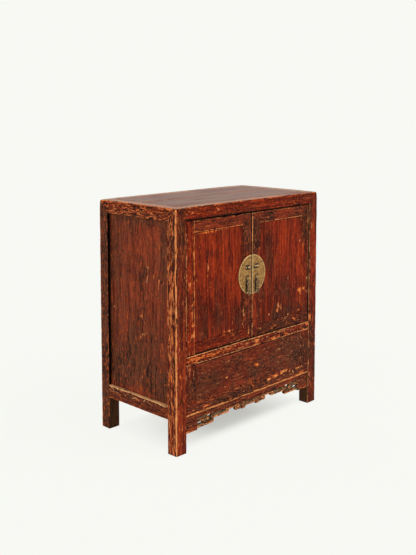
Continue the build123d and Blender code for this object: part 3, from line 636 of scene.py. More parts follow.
def timber(node, axis, low, high, look, ends=(None, None), body="carcass"):
    look = {**memberLook, **look}
    name = node + "_worn"
    names = sideNames[axis]
    a, b, along = axisOrder[axis]
    seed = sum(ord(letter) * (k + 3) for k, letter in enumerate(name)) % 997
    luck = random.Random(seed)
    corners = np.array([(low[a], low[b]), (high[a], low[b]), (high[a], high[b]), (low[a], high[b])]) / mm
    begins = low[along] / mm
    length = (high[along] - low[along]) / mm
    shown, bareSides, gapShadeSides = (look[key].split() for key in ("shown", "bare", "grimy"))

    radii, reaches, wears = [], [], []
    for side in range(4):
        radii.append(arrisValue(look["radii"], names, side, look["radius"]))
        wears.append((*arrisValue(look["worn"], names, side, look["everyArris"]), look["wearWidth"])[:3])
        chipDeep = 1.6 * min(wears[side][0], 1.0) if look["chipped"] else 0.0
        reaches.append(radii[side] * 1.25 + chipDeep + 0.2)

    # the section's points: sharp place, pull of the rounding, outward normal, arris (-1 on a flat),
    # side, distances from the arrises before and after, flat
    section = []
    for side, corner in enumerate(corners):
        ahead, behind = corners[(side + 1) % 4] - corner, corners[side - 1] - corner
        wide = np.linalg.norm(ahead)
        ahead, behind = ahead / wide, behind / np.linalg.norm(behind)
        turns = 6 if radii[side] > 4 else 3
        for k in range(turns + 1):
            angle = math.pi / 2 * k / turns
            pull = behind * (1 - math.sin(angle)) + ahead * (1 - math.cos(angle))
            out = -(ahead * math.cos(angle) + behind * math.sin(angle))
            nearer = side if 2 * k >= turns else (side - 1) % 4
            section.append((corner, pull, out, side, nearer, 0.0, 1e3, side))
        clearStart, clearEnd = reaches[side], reaches[(side + 1) % 4]
        if clearStart + clearEnd < wide - 0.3:
            out = np.array([ahead[1], -ahead[0]])
            space = look["fine"] if names[side] in shown else look["coarse"]
            groove = (-look["seamWide"], 0.0, look["seamWide"])
            seams = [seam + step for seam in look["seams"].get(names[side], ()) for step in groove]
            if side > 1:
                seams = [wide - seam for seam in seams]
            for stop in stopsBetween(wide, clearStart, clearEnd, space, seams):
                section.append((corner + ahead * stop, np.zeros(2), out, -1, side, stop, wide - stop, side))
    base, pull, out, arris, sideOf, fromStart, fromEnd, flatSide = map(np.array, zip(*section))
    onFlat = arris < 0

    # stations along the grain
    inner = np.linspace(6.0, length - 6.0, max(2, round((length - 12.0) / look["fine"])))
    stops = np.array([0.0, 0.7, 2.5, *inner, length - 2.5, length - 0.7, length])
    count, around = len(stops), len(section)

    # rounding of each arris along the way, with chips knocked out of it
    roundness = np.zeros((count, 4))
    for side, (strength, paleness, width) in enumerate(wears):
        wander = noiseAt([(begins + stop, side * 40.0, 0.0) for stop in stops], 0.03, seed) * 0.5
        wander += noiseAt([(begins + stop, side * 40.0, 9.0) for stop in stops], 0.11, seed) * 0.25
        roundness[:, side] = radii[side] * (0.85 + wander)
        for chip in range(int(length / 40 * strength) if look["chipped"] else 0):
            centre, half = luck.uniform(0, length), luck.uniform(3, 12)
            deep = luck.uniform(0.2, 1.6) * min(strength, 1.0)
            roundness[:, side] += deep * np.clip(1 - np.abs(stops - centre) / half, 0, 1)
        roundness[:, side] = np.minimum(roundness[:, side], reaches[side] - 0.15)
    size = np.where(onFlat, 0.0, roundness[:, np.maximum(arris, 0)])
    flat = base + pull * size[..., None]

    # grooves at board joints
    deepness = np.zeros((count, around))
    for sideName, seams in look["seams"].items():
        side = names.index(sideName)
        across = fromStart if side < 2 else fromEnd
        for seam in seams:
            near = np.clip(1 - np.abs(across - seam) / look["seamWide"], 0, 1) * (sideOf == side) * onFlat
            deepness += near * look["seamDeep"]
    deepness = deepness.ravel()

    # ends
    lowEnd = ends[0](flat[0]) if ends[0] else np.full(around, begins)
    highEnd = ends[1](flat[-1]) if ends[1] else np.full(around, begins + length)
    points, normals = np.zeros((2, count, around, 3))
    inset = np.zeros((count, around))
    points[..., a], points[..., b] = flat[..., 0], flat[..., 1]
    points[..., along] = lowEnd + (stops / length)[:, None] * (highEnd - lowEnd)
    normals[..., a], normals[..., b] = out[:, 0], out[:, 1]
    points, normals = points.reshape(-1, 3), normals.reshape(-1, 3)
    inset[0], inset[-1] = look["lowInset"], look["highInset"]
    wave = (noiseAt(points, 0.014, seed + 5) * 0.5 + 0.5) * 0.65
    wave += (noiseAt(points, 0.055, seed + 9) * 0.5 + 0.5) * 0.35
    inward = wave * look["wave"] + deepness + inset.ravel()

    # wear of the arrises, with dirt and painted shade along them and a top's dust and painted sheen thinned
    # near them; then the faces, with painted shade on sides in a gap and on shaded faces
    worn, pale, grime, bare, top = np.zeros((5, len(points)))
    dustAndSheenLeft = np.ones(len(points))
    tone = np.full(len(points), look["tone"])
    for side, (strength, paleness, width) in enumerate(wears):
        after, before = onFlat & (flatSide == side), onFlat & (flatSide == (side - 1) % 4)
        distance = np.select((arris == side, after, before), (0.0, fromStart, fromEnd), 1e3)
        near = np.tile(strength * np.exp(-np.maximum(distance - 1.0, 0.0) / width), count)
        pale = np.where(near > worn, paleness, pale)
        worn = np.maximum(worn, near)
        thinnedDustAndSheen, reach = arrisValue(look["arrisClean"], names, side, (0.0, 1.0))
        dustAndSheenLeft = np.minimum(dustAndSheenLeft, 1 - thinnedDustAndSheen * np.tile(np.exp(-(distance / reach) ** 2), count))
        shadeAndDirt, reach = arrisValue(look["arrisDirt"], names, side, (0.0, 1.0))
        grime = np.maximum(grime, shadeAndDirt * np.tile(np.exp(-(distance / reach) ** 2), count))
    for side, sideName in enumerate(names):
        mine = np.tile(sideOf == side, count)
        worn[mine] = np.maximum(worn[mine], look["faceWorn"].get(sideName, 0.0))
        bare[mine] = float(sideName in bareSides)
        # painted shade: sides in a gap dark, and shaded faces nearly black above their given height
        if sideName in gapShadeSides:
            grime[mine] = 0.8
        grime[mine & (points[:, 2] > look["shaded"].get(sideName, 1e4))] = 0.98
        if sideName == "top" and look["polished"]:
            top = np.where(mine & np.tile(onFlat, count), dustAndSheenLeft, top)
        pale[mine] = look["facePale"].get(sideName, pale[mine])
        tone[mine] += look["faceTone"].get(sideName, 0.0)
    onFront = (normals[:, 1] < -0.6) & (points[:, 1] < frontOut / mm + look["marksDeep"])
    onLeft = (normals[:, 0] < -0.6) & (points[:, 0] < leftOut / mm + look["marksDeep"])
    for mask, marks, tones, spared, across in (
        (onFront, frontMarks, frontTones, (), points[:, 0] - leftOut / mm),
        (onLeft, leftMarks, leftTones, leftSpared, points[:, 1] - frontOut / mm),
    ):
        if mask.any():
            place = across[mask], points[mask, 2]
            worn[mask] = np.maximum(worn[mask] - sumTones(spared, *place), 0)
            amount, paleness = sumMarks(marks, *place)
            pale[mask] = np.where(amount > worn[mask], paleness * 0.75, pale[mask])
            worn[mask] = np.maximum(worn[mask], amount)
            tone[mask] += sumTones(tones, *place)
    tone = np.where(onFront | onLeft, tone, tone + noiseAt(points, 0.006, seed + 20) * 0.7)
    fromEnds = np.repeat(np.minimum(stops, length - stops), around)
    grime = np.maximum(grime, 0.55 * np.clip(1 - fromEnds / 1.6, 0, 1))
    grime = np.maximum(grime, np.clip(deepness / look["seamDeep"], 0, 1) * 0.7)
    inward += np.clip(worn - 0.45, 0, 1) * look["wornDeep"] * (1 + noiseAt(points, 0.3, seed + 2))
    points = softenCorners(points - normals * inward[:, None])

    # grain coordinates: across, across, along, each member's own piece of the pattern
    drift = noiseAt([(p[a] * 0.3, p[b] * 0.3, p[along]) for p in points], 0.008, seed + 31) * look["figure"]
    grain = [points[:, k] + drift + luck.uniform(0, look["pattern"]) for k in (a, b)]
    grain.append(points[:, along] * look["shortGrain"] + luck.uniform(0, look["pattern"]))

    values = {"worn": worn, "pale": pale, "tone": tone, "bare": bare, "grime": grime, "top": top}
    values.update((key, np.full(len(points), look[key])) for key in ("faded", "mottled"))
    values["grain"] = np.stack(grain, 1)

    def withMiddles(data):
        # the middles of both ends added
        return np.concatenate([data, [data[:around].mean(0), data[-around:].mean(0)]])

    total, last = count * around, (count - 1) * around
    faces = quadsBetween(count, around)
    faces += [((r + 1) % around, r, total) for r in range(around)]
    faces += [(total + 1, last + r, last + (r + 1) % around) for r in range(around)]
    if axis == "y":
        faces = [face[::-1] for face in faces]
    values = {key: withMiddles(data) for key, data in values.items()}
    values["grain"] *= mm
    piece = addMesh(name, withMiddles(points) * mm, faces, lacquer, values)
    dress(piece, body, node)
    return piece


# End cuts, in mm over the section's two coordinates

def postTop(sx, sy):
    def cut(section):
        byX = np.abs(sx * rightOut / mm - section[:, 0]) * railHigh / postWide
        byY = np.abs(sy * backOut / mm - section[:, 1]) * railHigh / postDeep
        return cabinetTop / mm - np.maximum(byX, byY)
    return cut


def topRailEnd(sx, sy, alongX):
    # a top rail's end against its post and against the rail round the corner
    byX, byY = (sx, rightOut / mm, postWide), (sy, backOut / mm, postDeep)
    (sign, outer, deep), (otherSign, otherOuter, otherDeep) = (byX, byY) if alongX else (byY, byX)

    def cut(section):
        down = cabinetTop / mm - section[:, 1]
        inwards = np.abs(otherSign * otherOuter - section[:, 0])
        return sign * (outer - np.maximum(down * deep / railHigh, inwards * deep / otherDeep))
    return cut


# Frame
opposite = {"front": "back", "back": "front", "left": "right", "right": "left"}
postLooks = {
    "front_left": {
        "fine": 4.5, "everyArris": (0.45, 0.2), "wearWidth": 5.5,
        "worn": {"front left": (0.88, 0.3, 1.7), "front right": (0.35, 0.2), "back left": (0.6, 0.2)},
        "arrisDirt": {"front right": (0.5, 1.6)}, "faceWorn": {"left": 0.5, "front": 0.2},
        "faceTone": {"left": 0.25, "front": 0.25}, "faded": 0.2, "shortGrain": 0.55,
    },
    "front_right": {
        "everyArris": (0.45, 0.15), "worn": {"front right": (0.5, 0.0), "front left": (0.72, 0.6, 1.3)},
        "faceWorn": {"front": 0.18, "right": 0.3}, "tone": -0.2, "shortGrain": 0.7,
    },
    "back_left": {
        "everyArris": (0.45, 0.1), "worn": {"front left": (0.5, 0.1), "back left": (0.7, 0.0)},
        "faceWorn": {"left": 0.2}, "faded": 0.6, "tone": -0.35, "shaded": {"front": 176.0},
    },
    "back_right": {
        "everyArris": (0.5, 0.1), "worn": {"back right": (0.75, 0.2)},
        "faceWorn": {"right": 0.2, "back": 0.16},
    },
}
for corner, look in postLooks.items():
    depthwise, sideways = corner.split("_")
    outer, inner = depthwise + " " + sideways, opposite[depthwise] + " " + opposite[sideways]
    look.update(shown=outer, bare=inner, radii={outer: 3.2}, lowInset=1.6)
    cut = postTop(-1 if sideways == "left" else 1, -1 if depthwise == "front" else 1)
    timber("post_" + corner, "z", *span("post_" + corner), look, (None, cut))

topRailLooks = {
    "front": {
        "fine": 4.5, "everyArris": (0.4, 0.2),
        "worn": {"front top": (0.52, 0.0, 2.2), "front bottom": (0.1, 0.0)},
        # painted shadow along the lower arris: the dark line above the doors
        "arrisDirt": {"front bottom": (1.0, 4.6)},
        "arrisClean": {"back top": (0.9, 9.0), "front top": (0.9, 3.2)},
        "faceWorn": {"front": 0.2, "top": 0.3}, "facePale": {"top": 0.3},
    },
    "back": {
        "everyArris": (0.45, 0.1), "worn": {"back top": (0.5, 0.1)}, "arrisDirt": {"back top": (0.6, 5.0)},
    },
    "left": {
        "fine": 4.5, "everyArris": (0.5, 0.2), "worn": {"left top": (0.6, 0.1), "left bottom": (0.7, 0.2)},
        "arrisClean": {"right top": (0.8, 7.0), "left top": (0.8, 2.6)},
        "faceWorn": {"left": 0.42, "top": 0.28}, "facePale": {"top": 0.3}, "faded": 0.25,
    },
    "right": {"everyArris": (0.5, 0.2), "worn": {"right top": (0.8, 0.15)}, "faceWorn": {"right": 0.25}},
}
for name, look in topRailLooks.items():
    arris = name + " top"
    look.update(shown=arris, bare="bottom " + opposite[name], radii={arris: 3.0}, polished=True)
    alongX = name in ("front", "back")
    own = -1 if name in ("front", "left") else 1
    ends = tuple(topRailEnd(*((end, own) if alongX else (own, end)), alongX) for end in (-1, 1))
    timber("top_rail_" + name, "x" if alongX else "y", *span("top_rail_" + name), look, ends)


def setBox(node, x=None, y=None, z=None):
    # a node's box with some of its ends moved, as where a tenon is left out
    low, high = span(node)
    for axis, ends in enumerate((x, y, z)):
        if ends is not None:
            low[axis], high[axis] = ends
    return low, high


railLooks = {
    "mid_rail_front": {
        "shown": "front top", "bare": "bottom back top", "fine": 4.5, "everyArris": (0.4, 0.2),
        "worn": {"front bottom": (1.0, 0.6, 1.4), "front top": (0.95, 0.55, 1.4)},
        "faceWorn": {"front": 0.3}, "faceTone": {"front": 0.1},
    },
    "mid_rail_back": {"shown": "back", "bare": "bottom front top", "everyArris": (0.4, 0.1)},
    "bottom_rail_front": {
        "shown": "front", "bare": "bottom back", "fine": 4.5, "chipped": False,
        "radii": {"front bottom": 0.9}, "everyArris": (0.3, 0.2), "worn": {"front bottom": (1.6, 0.25, 2.2)},
        "faceWorn": {"front": 0.22}, "faded": 0.3,
    },
    "bottom_rail_back": {"shown": "back", "bare": "bottom front top", "everyArris": (0.4, 0.1)},
    "bottom_rail_left": {
        "shown": "left top", "bare": "bottom right", "fine": 4.5, "everyArris": (0.45, 0.2),
        # the top ledge and its arris are coloured pale bare wood all over, a painted highlight where light
        # falls on it from above
        "worn": {"left bottom": (0.6, 0.1), "left top": (2.2, 0.9, 2.0)},
        "faceWorn": {"left": 0.28, "top": 1.5}, "facePale": {"top": 1.0},
        "faceTone": {"left": 0.2}, "faded": 0.6,
    },
    "bottom_rail_right": {
        "shown": "right top", "bare": "bottom left", "everyArris": (0.45, 0.2), "polished": True,
        "worn": {"right bottom": (0.6, 0.1), "right top": (0.7, 0.4)}, "faceWorn": {"right": 0.2},
    },
}
tight = 0.3 * mm  # how far a rail runs into its posts
for node, look in railLooks.items():
    if node.endswith(("left", "right")):
        timber(node, "y", *setBox(node, y=(frontIn - tight, backIn + tight)), look)
    else:
        timber(node, "x", *setBox(node, x=(leftIn - tight, rightIn + tight)), look)

# Short stiles and the nearly flush panel below the doors
stileLook = {
    "shown": "front", "bare": "back", "everyArris": (0.35, 0.4), "faceWorn": {"front": 0.12}, "tone": -0.2,
}
for node in ("lower_stile_left", "lower_stile_right"):
    timber(node, "z", *setBox(node, z=(bottomTop - 0.2 * mm, midUnder + 0.2 * mm)), stileLook)
lowerPanelLook = {
    "shown": "front", "bare": "back bottom", "fine": 4.0, "wave": 0.5, "radius": 0.9,
    "everyArris": (0.3, 0.4), "worn": {"front bottom": (0.5, 0.3)}, "wearWidth": 2.2,
    # painted shade along the top arris, under the rail
    "arrisDirt": {"front top": (0.9, 1.5)}, "faceWorn": {"front": 0.14},
    "faded": 0.35, "mottled": 0.68, "shortGrain": 1.7,
}
stileIn = span("lower_stile_left")[1][0]
panelBox = setBox("lower_panel", x=(stileIn, -stileIn), z=(bottomTop - 0.4 * mm, midUnder - 2.5 * mm))
timber("lower_panel", "x", *panelBox, lowerPanelLook)

# Side and back panels
sidePanelLook = {
    "fine": 4.5, "wave": 0.7, "radius": 0.8, "faceWorn": {"left": 0.16, "right": 0.16},
    "tone": 0.05, "faded": 0.85, "mottled": 0.9, "figure": 14.0, "shortGrain": 0.5,
}
tucked = 2 * mm  # how far a panel runs into its grooves
for name in ("left", "right"):
    node = "side_panel_" + name
    # painted shade along the back arris, in the corner beside the rear post
    look = dict(sidePanelLook, shown=name, bare=opposite[name], arrisDirt={"back " + name: (0.7, 7.0)})
    box = setBox(node, y=(frontIn - tucked, backIn + tucked), z=(sideTop - tucked, topUnder + tucked))
    timber(node, "z", *box, look)
backLook = {
    "shown": "back", "bare": "front", "fine": 8.0, "wave": 0.8, "radius": 0.8, "faceWorn": {"back": 0.03},
    "faded": 0.5, "mottled": 0.25, "figure": 16.0, "seams": {"back": (180.0, 372.0, 560.0)},
}
for node, under, over in (("back_panel_lower", bottomTop, midUnder), ("back_panel_upper", midTop, topUnder)):
    box = setBox(node, x=(leftIn - tucked, rightIn + tucked), z=(under - tucked, over + tucked))
    timber(node, "z", *box, backLook)

# Boards of the top
boardLook = {
    "shown": "top", "bare": "bottom", "fine": 6.0, "wave": 0.5, "radius": 0.9, "polished": True,
    "everyArris": (0.5, 0.3), "arrisClean": {"front top": (0.85, 9.0), "back top": (0.85, 9.0)},
    "faded": 1.0, "figure": 12.0, "slot": "top_lacquer",
}
seam = span("top_board_back")[0][1]
for node, ends in (("top_board_front", (frontIn, seam - 0.6 * mm)), ("top_board_back", (seam, backIn))):
    timber(node, "x", *setBox(node, x=(leftIn, rightIn), y=ends), boardLook)
print("frame members made")


# Doors
doorFront, doorBack = (ends[1] for ends in span("door_left_hinge_stile"))
hingeIn, hingeOut = (ends[0] for ends in span("door_right_hinge_stile"))
freeX, lockIn = (ends[0] for ends in span("door_right_lock_stile"))
doorUnder, railTop = (ends[2] for ends in span("door_left_bottom_rail"))
doorTop = span("door_left_top_rail")[1][2]
doorRail = railTop - doorUnder
slope = doorRail / (lockIn - freeX)
doorGap = 0.8 * mm  # between a door's panel and its frame

doorLooks = {
    "hinge_stile": {"everyArris": (0.4, 0.2), "faceWorn": {"front": 0.1}, "chipped": False},
    "lock_stile": {"everyArris": (0.3, 0.3), "faceWorn": {"front": 0.1}, "faded": 0.2},
    "top_rail": {
        # painted shade on the top side and front top arris, in the gap above the door
        "everyArris": (0.3, 0.2), "faceWorn": {"front": 0.1}, "faded": 0.35, "grimy": "top",
        "arrisDirt": {"front top": (0.95, 2.6)},
    },
    "bottom_rail": {
        # painted shade on the bottom side and front bottom arris, in the gap below the door
        "everyArris": (0.3, 0.2), "faceWorn": {"front": 0.14}, "grimy": "bottom",
        "worn": {"front bottom": (0.5, 0.15)}, "arrisDirt": {"front bottom": (1.0, 4.2)},
    },
    "panel": {
        "everyArris": (0.25, 0.2), "faceWorn": {"front": 0.05}, "fine": 4.0, "wave": 0.5,
        "radius": 0.8, "figure": 8.0, "mottled": 0.5, "shortGrain": 0.65,
    },
}
pinLook = {"radius": 6.9, "across": 347.0, "deep": -201.0, "below": 9.5, "above": 11.5, "eased": 1.2}  # mm


def addPins(stile, side):
    # the round pins that the door turns on, worked on the ends of its hinge stile
    shell = bmesh.new()
    shell.from_mesh(stile.data)
    bare = shell.verts.layers.float["bare"]
    bottom, peak, eased = doorUnder / mm, doorTop / mm, pinLook["eased"]
    foot, head = bottom - pinLook["below"], peak + pinLook["above"]
    for stops in (
        ((foot, 0.86), (foot + eased, 1.0), (bottom, 1.0), (bottom + 4.0, 1.0)),
        ((peak - 4.0, 1.0), (peak, 1.0), (head - eased, 1.0), (head, 0.86)),
    ):
        rows = []
        for z, share in stops:
            x, y, wide = side * pinLook["across"], pinLook["deep"], pinLook["radius"] * share
            rows.append([(x + wide * math.cos(turn), y + wide * math.sin(turn), z) for turn in circle(28)])
        points, faces = tube(rows)
        corners = [shell.verts.new(Vector(point) * mm) for point in points]
        for corner in corners:
            corner[bare] = 1.0
        for face in faces:
            shell.faces.new([corners[k] for k in face])
    bmesh.ops.recalc_face_normals(shell, faces=shell.faces)
    shell.to_mesh(stile.data)
    shell.free()


def doorMember(name, part, axis, xEnds, zEnds, ends=(None, None), **extra):
    side = -1 if name == "left" else 1
    node = "door_" + name + "_" + part
    flush = None if part == "panel" else (doorFront, doorBack)
    low, high = setBox(node, x=sorted((side * xEnds[0], side * xEnds[1])), y=flush, z=zEnds)
    look = {"shown": "front", "bare": "back", **doorLooks[part], **extra}
    return timber(node, axis, low, high, look, ends, "door_" + name)


def stileMitre(atTop):
    def cut(section):
        rise = (np.abs(section[:, 0]) - freeX / mm) * slope
        return doorTop / mm - rise if atTop else doorUnder / mm + rise
    return cut


def railMitre(side, atTop):
    def cut(section):
        drop = doorTop / mm - section[:, 1] if atTop else section[:, 1] - doorUnder / mm
        return side * (freeX / mm + drop / slope)
    return cut


for name, side in (("left", -1), ("right", 1)):
    onLeftDoor, inner = side < 0, opposite[name]
    outerArris, innerArris = "front " + name, "front " + inner
    stile = doorMember(
        name, "hinge_stile", "z", (hingeIn, hingeOut), (doorUnder, doorTop), radii={outerArris: 9.0},
        worn={outerArris: (0.15, 0.6, 1.8), innerArris: (1.0 if onLeftDoor else 0.3, 0.1, 2.4)},
    )
    addPins(stile, side)
    # painted shade in the gap between the doors: on both inner sides and along the left door's inner arris
    doorMember(
        name, "lock_stile", "z", (freeX, lockIn), (doorUnder, doorTop), (stileMitre(False), stileMitre(True)),
        worn={innerArris: (0.3, 0.4, 1.6) if onLeftDoor else (0.8, 0.5, 2.0)},
        arrisDirt={innerArris: (1.0, 5.4) if onLeftDoor else (0.0, 1.0)}, grimy=inner,
    )
    topWorn = {"front top": (0.9, 0.3, 3.0), "front bottom": (1.15, 0.05 if onLeftDoor else 0.4, 1.5)}
    for part, zEnds, atTop, extra in (
        ("bottom_rail", (doorUnder, doorUnder + doorRail), False, {}),
        ("top_rail", (doorTop - doorRail, doorTop), True, {"worn": topWorn}),
    ):
        mitre = railMitre(side, atTop)
        ends = (None, mitre) if onLeftDoor else (mitre, None)
        doorMember(name, part, "x", (freeX, hingeIn), zEnds, ends, **extra)
    panelEnds = (doorUnder + doorRail + doorGap, doorTop - doorRail - doorGap)
    doorMember(name, "panel", "z", (lockIn + doorGap, hingeIn - doorGap), panelEnds)
print("doors made")


# Apron: the carved board's own outline, with rounded strands worked out of a sunk ground
apronLook = {
    "grid": 1.25,  # mm between points
    "ground": 3.1,  # mm that the ground lies behind the strands
    "lineHigh": 106.0, "lineWide": 5.0, "lineDeep": 3.0,
}
# where the ground is sunk, on one half: from and to across, from and to up
apronGround = [
    (210.5, 296.5, 77.0, 116.0), (124.0, 210.5, 93.0, 110.5), (88.0, 125.0, 103.5, 111.0),
    (55.5, 88.0, 89.0, 111.0), (31.0, 53.5, 85.5, 111.0), (-1.0, 31.0, 93.0, 110.5),
]
# strands of the carving on one half: radius, how worn, and the points that they pass
apronStrands = [
    (3.3, 0.95, [(126, 95.4), (206, 95.4)]),
    (2.4, 0.7, [(127, 95.5), (126.5, 102), (131, 106), (137, 105), (138.5, 100.5)]),
    (3.2, 0.95, [(295, 79.2), (213.5, 79.2)]),
    (2.8, 0.45, [(213.2, 80), (213.2, 101)]),
    (2.4, 0.55, [(213.5, 99), (213.5, 114.5), (245.5, 114.5), (245.5, 100.5), (233, 98.5)]),
    (4.4, 1.0, [(238.5, 96.5), (241, 97)]),
    (2.3, 0.5, [(296, 84), (296, 100.5), (262.5, 100.5), (259, 92), (252, 88)]),
    (4.0, 1.0, [(265.5, 100), (268, 99.5)]),
    (2.2, 0.35, [(293, 107), (256, 107)]),
    (2.2, 0.4, [(248, 84.5), (222, 86.5), (219, 92)]),
    (2.8, 0.7, [(88, 105.6), (124, 105.6)]),
    (2.6, 0.6, [(87, 91.2), (58, 91.2)]),
    (2.3, 0.75, [
        (86.5, 91), (86.5, 104), (80, 109), (70, 108.5), (64.5, 103), (67, 97), (73.5, 96.5), (75, 101),
    ]),
    (3.4, 1.0, [(79, 97.5), (71, 101)]),
    (2.2, 0.4, [(57.5, 92), (57.5, 109)]),
    (2.5, 0.6, [(53, 87.6), (33, 87.6)]),
    (2.2, 0.55, [
        (33, 88), (33, 101), (38, 108), (46, 108), (50, 102), (47.5, 96.5), (42, 96.5), (41, 100.5),
    ]),
    (3.0, 0.7, [(44.5, 92), (38, 93.5)]),
    (2.7, 0.65, [(0, 95.3), (30, 95.3)]),
    (3.0, 0.5, [(0, 102), (0, 102.5)]), (2.6, 0.4, [(10, 101.5), (10, 102)]),
    (3.0, 0.5, [(20, 102), (20, 102.5)]),
    (2.0, 0.3, [(0, 109), (30, 109)]),
]


def farFrom(points, line):
    # distance of each point from a bent line
    best = np.full(len(points), 1e3)
    for start, end in zip(line[:-1], line[1:]):
        start, end = np.array(start, float), np.array(end, float)
        along = np.clip(((points - start) @ (end - start)) / max((end - start) @ (end - start), 1e-9), 0, 1)
        best = np.minimum(best, np.linalg.norm(points - start - along[:, None] * (end - start), axis=1))
    return best


def readAll(items, key, width, kind=float):
    # one property of all of a mesh's points or edges, in rows
    found = np.zeros(len(items) * width, dtype=kind)
    items.foreach_get(key, found)
    return found.reshape(-1, width)


def makeApron():
    ground, lineDeep = apronLook["ground"], apronLook["lineDeep"]
    piece = bpy.data.objects.new("apron_carved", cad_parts["apron"].data.copy())
    bpy.context.scene.collection.objects.link(piece)
    remesh = piece.modifiers.new("even", "REMESH")
    remesh.mode = "VOXEL"
    remesh.voxel_size = apronLook["grid"] * mm
    bpy.context.view_layer.update()
    even = bpy.data.meshes.new_from_object(piece.evaluated_get(bpy.context.evaluated_depsgraph_get()))
    piece.modifiers.clear()
    points = readAll(even.vertices, "co", 3) / mm
    edges = readAll(even.edges, "vertices", 2, int)
    low, high = (ends / mm for ends in span("apron"))
    front = low[1]
    thick = high[1] - front

    def smoothed(values, rounds):
        # each value drawn half way to the mean of its neighbours
        number = np.bincount(edges.ravel(), minlength=len(values))[:, None]
        for turn in range(rounds):
            total = np.zeros_like(values)
            np.add.at(total, edges[:, 0], values[edges[:, 1]])
            np.add.at(total, edges[:, 1], values[edges[:, 0]])
            values = 0.5 * values + 0.5 * total / number
        return values

    # the board's own incised line is filled, then the ground is sunk and the strands stand in it
    across, up = np.abs(points[:, 0]), points[:, 2].copy()
    flat = np.stack([across, up], 1)
    inLine = np.abs(up - apronLook["lineHigh"]) < apronLook["lineWide"] / 2 + 0.7
    inLine &= (points[:, 1] < front + thick - 0.8) & (points[:, 1] > front + lineDeep - 0.6)
    raised = front + (points[:, 1] - front - lineDeep) * thick / (thick - lineDeep)
    points[:, 1] = np.where(inLine, np.maximum(raised, front), points[:, 1])

    depth, lit = np.zeros((2, len(points)))
    for u0, u1, z0, z1 in apronGround:
        margin = np.minimum(np.minimum(across - u0, u1 - across), np.minimum(up - z0, z1 - up))
        depth = np.maximum(depth, np.clip(margin / 1.4 + 0.5, 0, 1) * ground)
    inGround = depth / ground
    for radius, worn, line in apronStrands:
        wobble = noiseAt(points, 0.12, radius) * 0.25
        share = np.clip(farFrom(flat, line) / (radius * (1 + wobble)), 0, 1)
        strand = ground * (1 - np.sqrt(1 - share**2)) + 0.15
        depth = np.where(share < 1, np.minimum(depth, strand), depth)
        lit = np.maximum(lit, np.where(share < 1, worn * (1 - share**2), 0))
    tool = noiseAt(points, 0.16, 3.0) * 0.28 + noiseAt(points, 0.5, 8.0) * 0.12
    depth = np.clip(depth + tool * (0.4 + 0.6 * inGround) + 0.25, 0.05, ground + 0.6)
    through = np.clip((points[:, 1] - front) / thick, 0, 1)
    points[:, 1] += smoothed(depth[:, None], 1)[:, 0] * (1 - through)
    points = smoothed(points, 2)
    points[:, 1] = np.maximum(points[:, 1], front)
    for axis in (2, 0):
        points[:, axis] = np.clip(points[:, axis], low[axis], high[axis])

    facing = readAll(even.vertices, "normal", 3)
    onFront = points[:, 1] < front + ground + 2.5
    under = (facing[:, 2] < -0.5) | (np.abs(facing[:, 0]) > 0.7)
    sunk = np.where(onFront, np.clip(depth / ground - 0.25, 0, 1) * inGround, 0.0)
    lowEdge = np.where(across > 297, 70.0, -1e3)
    endBlock = np.clip((across - 299) / 6, 0, 1)
    band = np.clip((up - 111) / 6, 0, 1) * (1 - endBlock)
    worn = lit * 0.95 + 0.17 * endBlock + 0.14 * band
    worn = np.maximum(worn, 1.2 * np.clip((up - 131.5) / 1.5, 0, 1))
    worn = np.where(onFront, worn, 0.1)
    worn += np.where(onFront & (up < 133.0), 0.08, 0.0)
    worn += np.where(onFront & (up < lowEdge + 14), 0.35 * (1 - (up - lowEdge) / 14), 0.0)
    # painted shade: faces off the front are darkened, and faces turned down or sideways more; the deepest
    # sunk ground gets painted shade and dirt too
    grime = np.where(onFront, 0.0, 0.35) + np.where(under, 0.25, 0.0)
    tone = -0.15 * band - 0.5 * endBlock * np.clip((up - 84) / 10, 0, 1) - 0.4 * inGround
    values = {
        "worn": np.clip(worn, 0, 1.1),
        "pale": np.where(lit > 0.3, 0.35, 0.15),
        "tone": np.where(onFront, tone, -0.8),
        "sunk": sunk,
        "grime": np.clip(grime + np.clip(sunk - 0.8, 0, 1) * 1.2, 0, 0.9),
        "bare": np.where(onFront | under, 0.0, 1.0),
        "faded": np.full(len(points), 0.45),
        "mottled": np.full(len(points), 1.0),
        "grain": np.stack([points[:, 1] + 300, points[:, 2] + 900, points[:, 0] + 2000], 1) * mm,
    }
    faces = [tuple(polygon.vertices) for polygon in even.polygons]
    bpy.data.objects.remove(piece)
    dress(addMesh("apron_carved", points * mm, faces, lacquer, values, 60.0), "carcass", "apron")


makeApron()
print("apron made")


# Brass on the doors
brass = {
    "plate": 77.5, "nailRing": 70.5, "nailAngles": (-76, -38, 0, 38, 76),
    "lug": 23.5, "lugRise": 29.5, "leaf": 20.0, "leafLong": 18.0, "leafHalf": 6.0,
    "eye": 6.0, "eyeHole": 3.5, "eyeWide": 4.0, "pull": 26.0, "pullDrop": 12.5,
    "rosetteThick": 1.2, "staple": 4.3, "wire": 1.2, "bail": 2.65, "bailWire": 0.95, "play": 0.2,
}
# half widths of a pull, by the distance below its hole
pullOutline = [
    (2.6, 2.1), (5.0, 2.2), (7.5, 3.0), (10.0, 7.6), (12.5, 10.6), (14.5, 11.0), (17.0, 10.2), (20.0, 8.3),
    (24.0, 6.6), (28.0, 5.9), (31.0, 6.0), (36.0, 6.9), (41.0, 8.0), (45.5, 8.5), (49.0, 8.0), (52.5, 6.3),
    (56.0, 4.0), (58.5, 2.4), (60.3, 1.5), (61.0, 0.7),
]
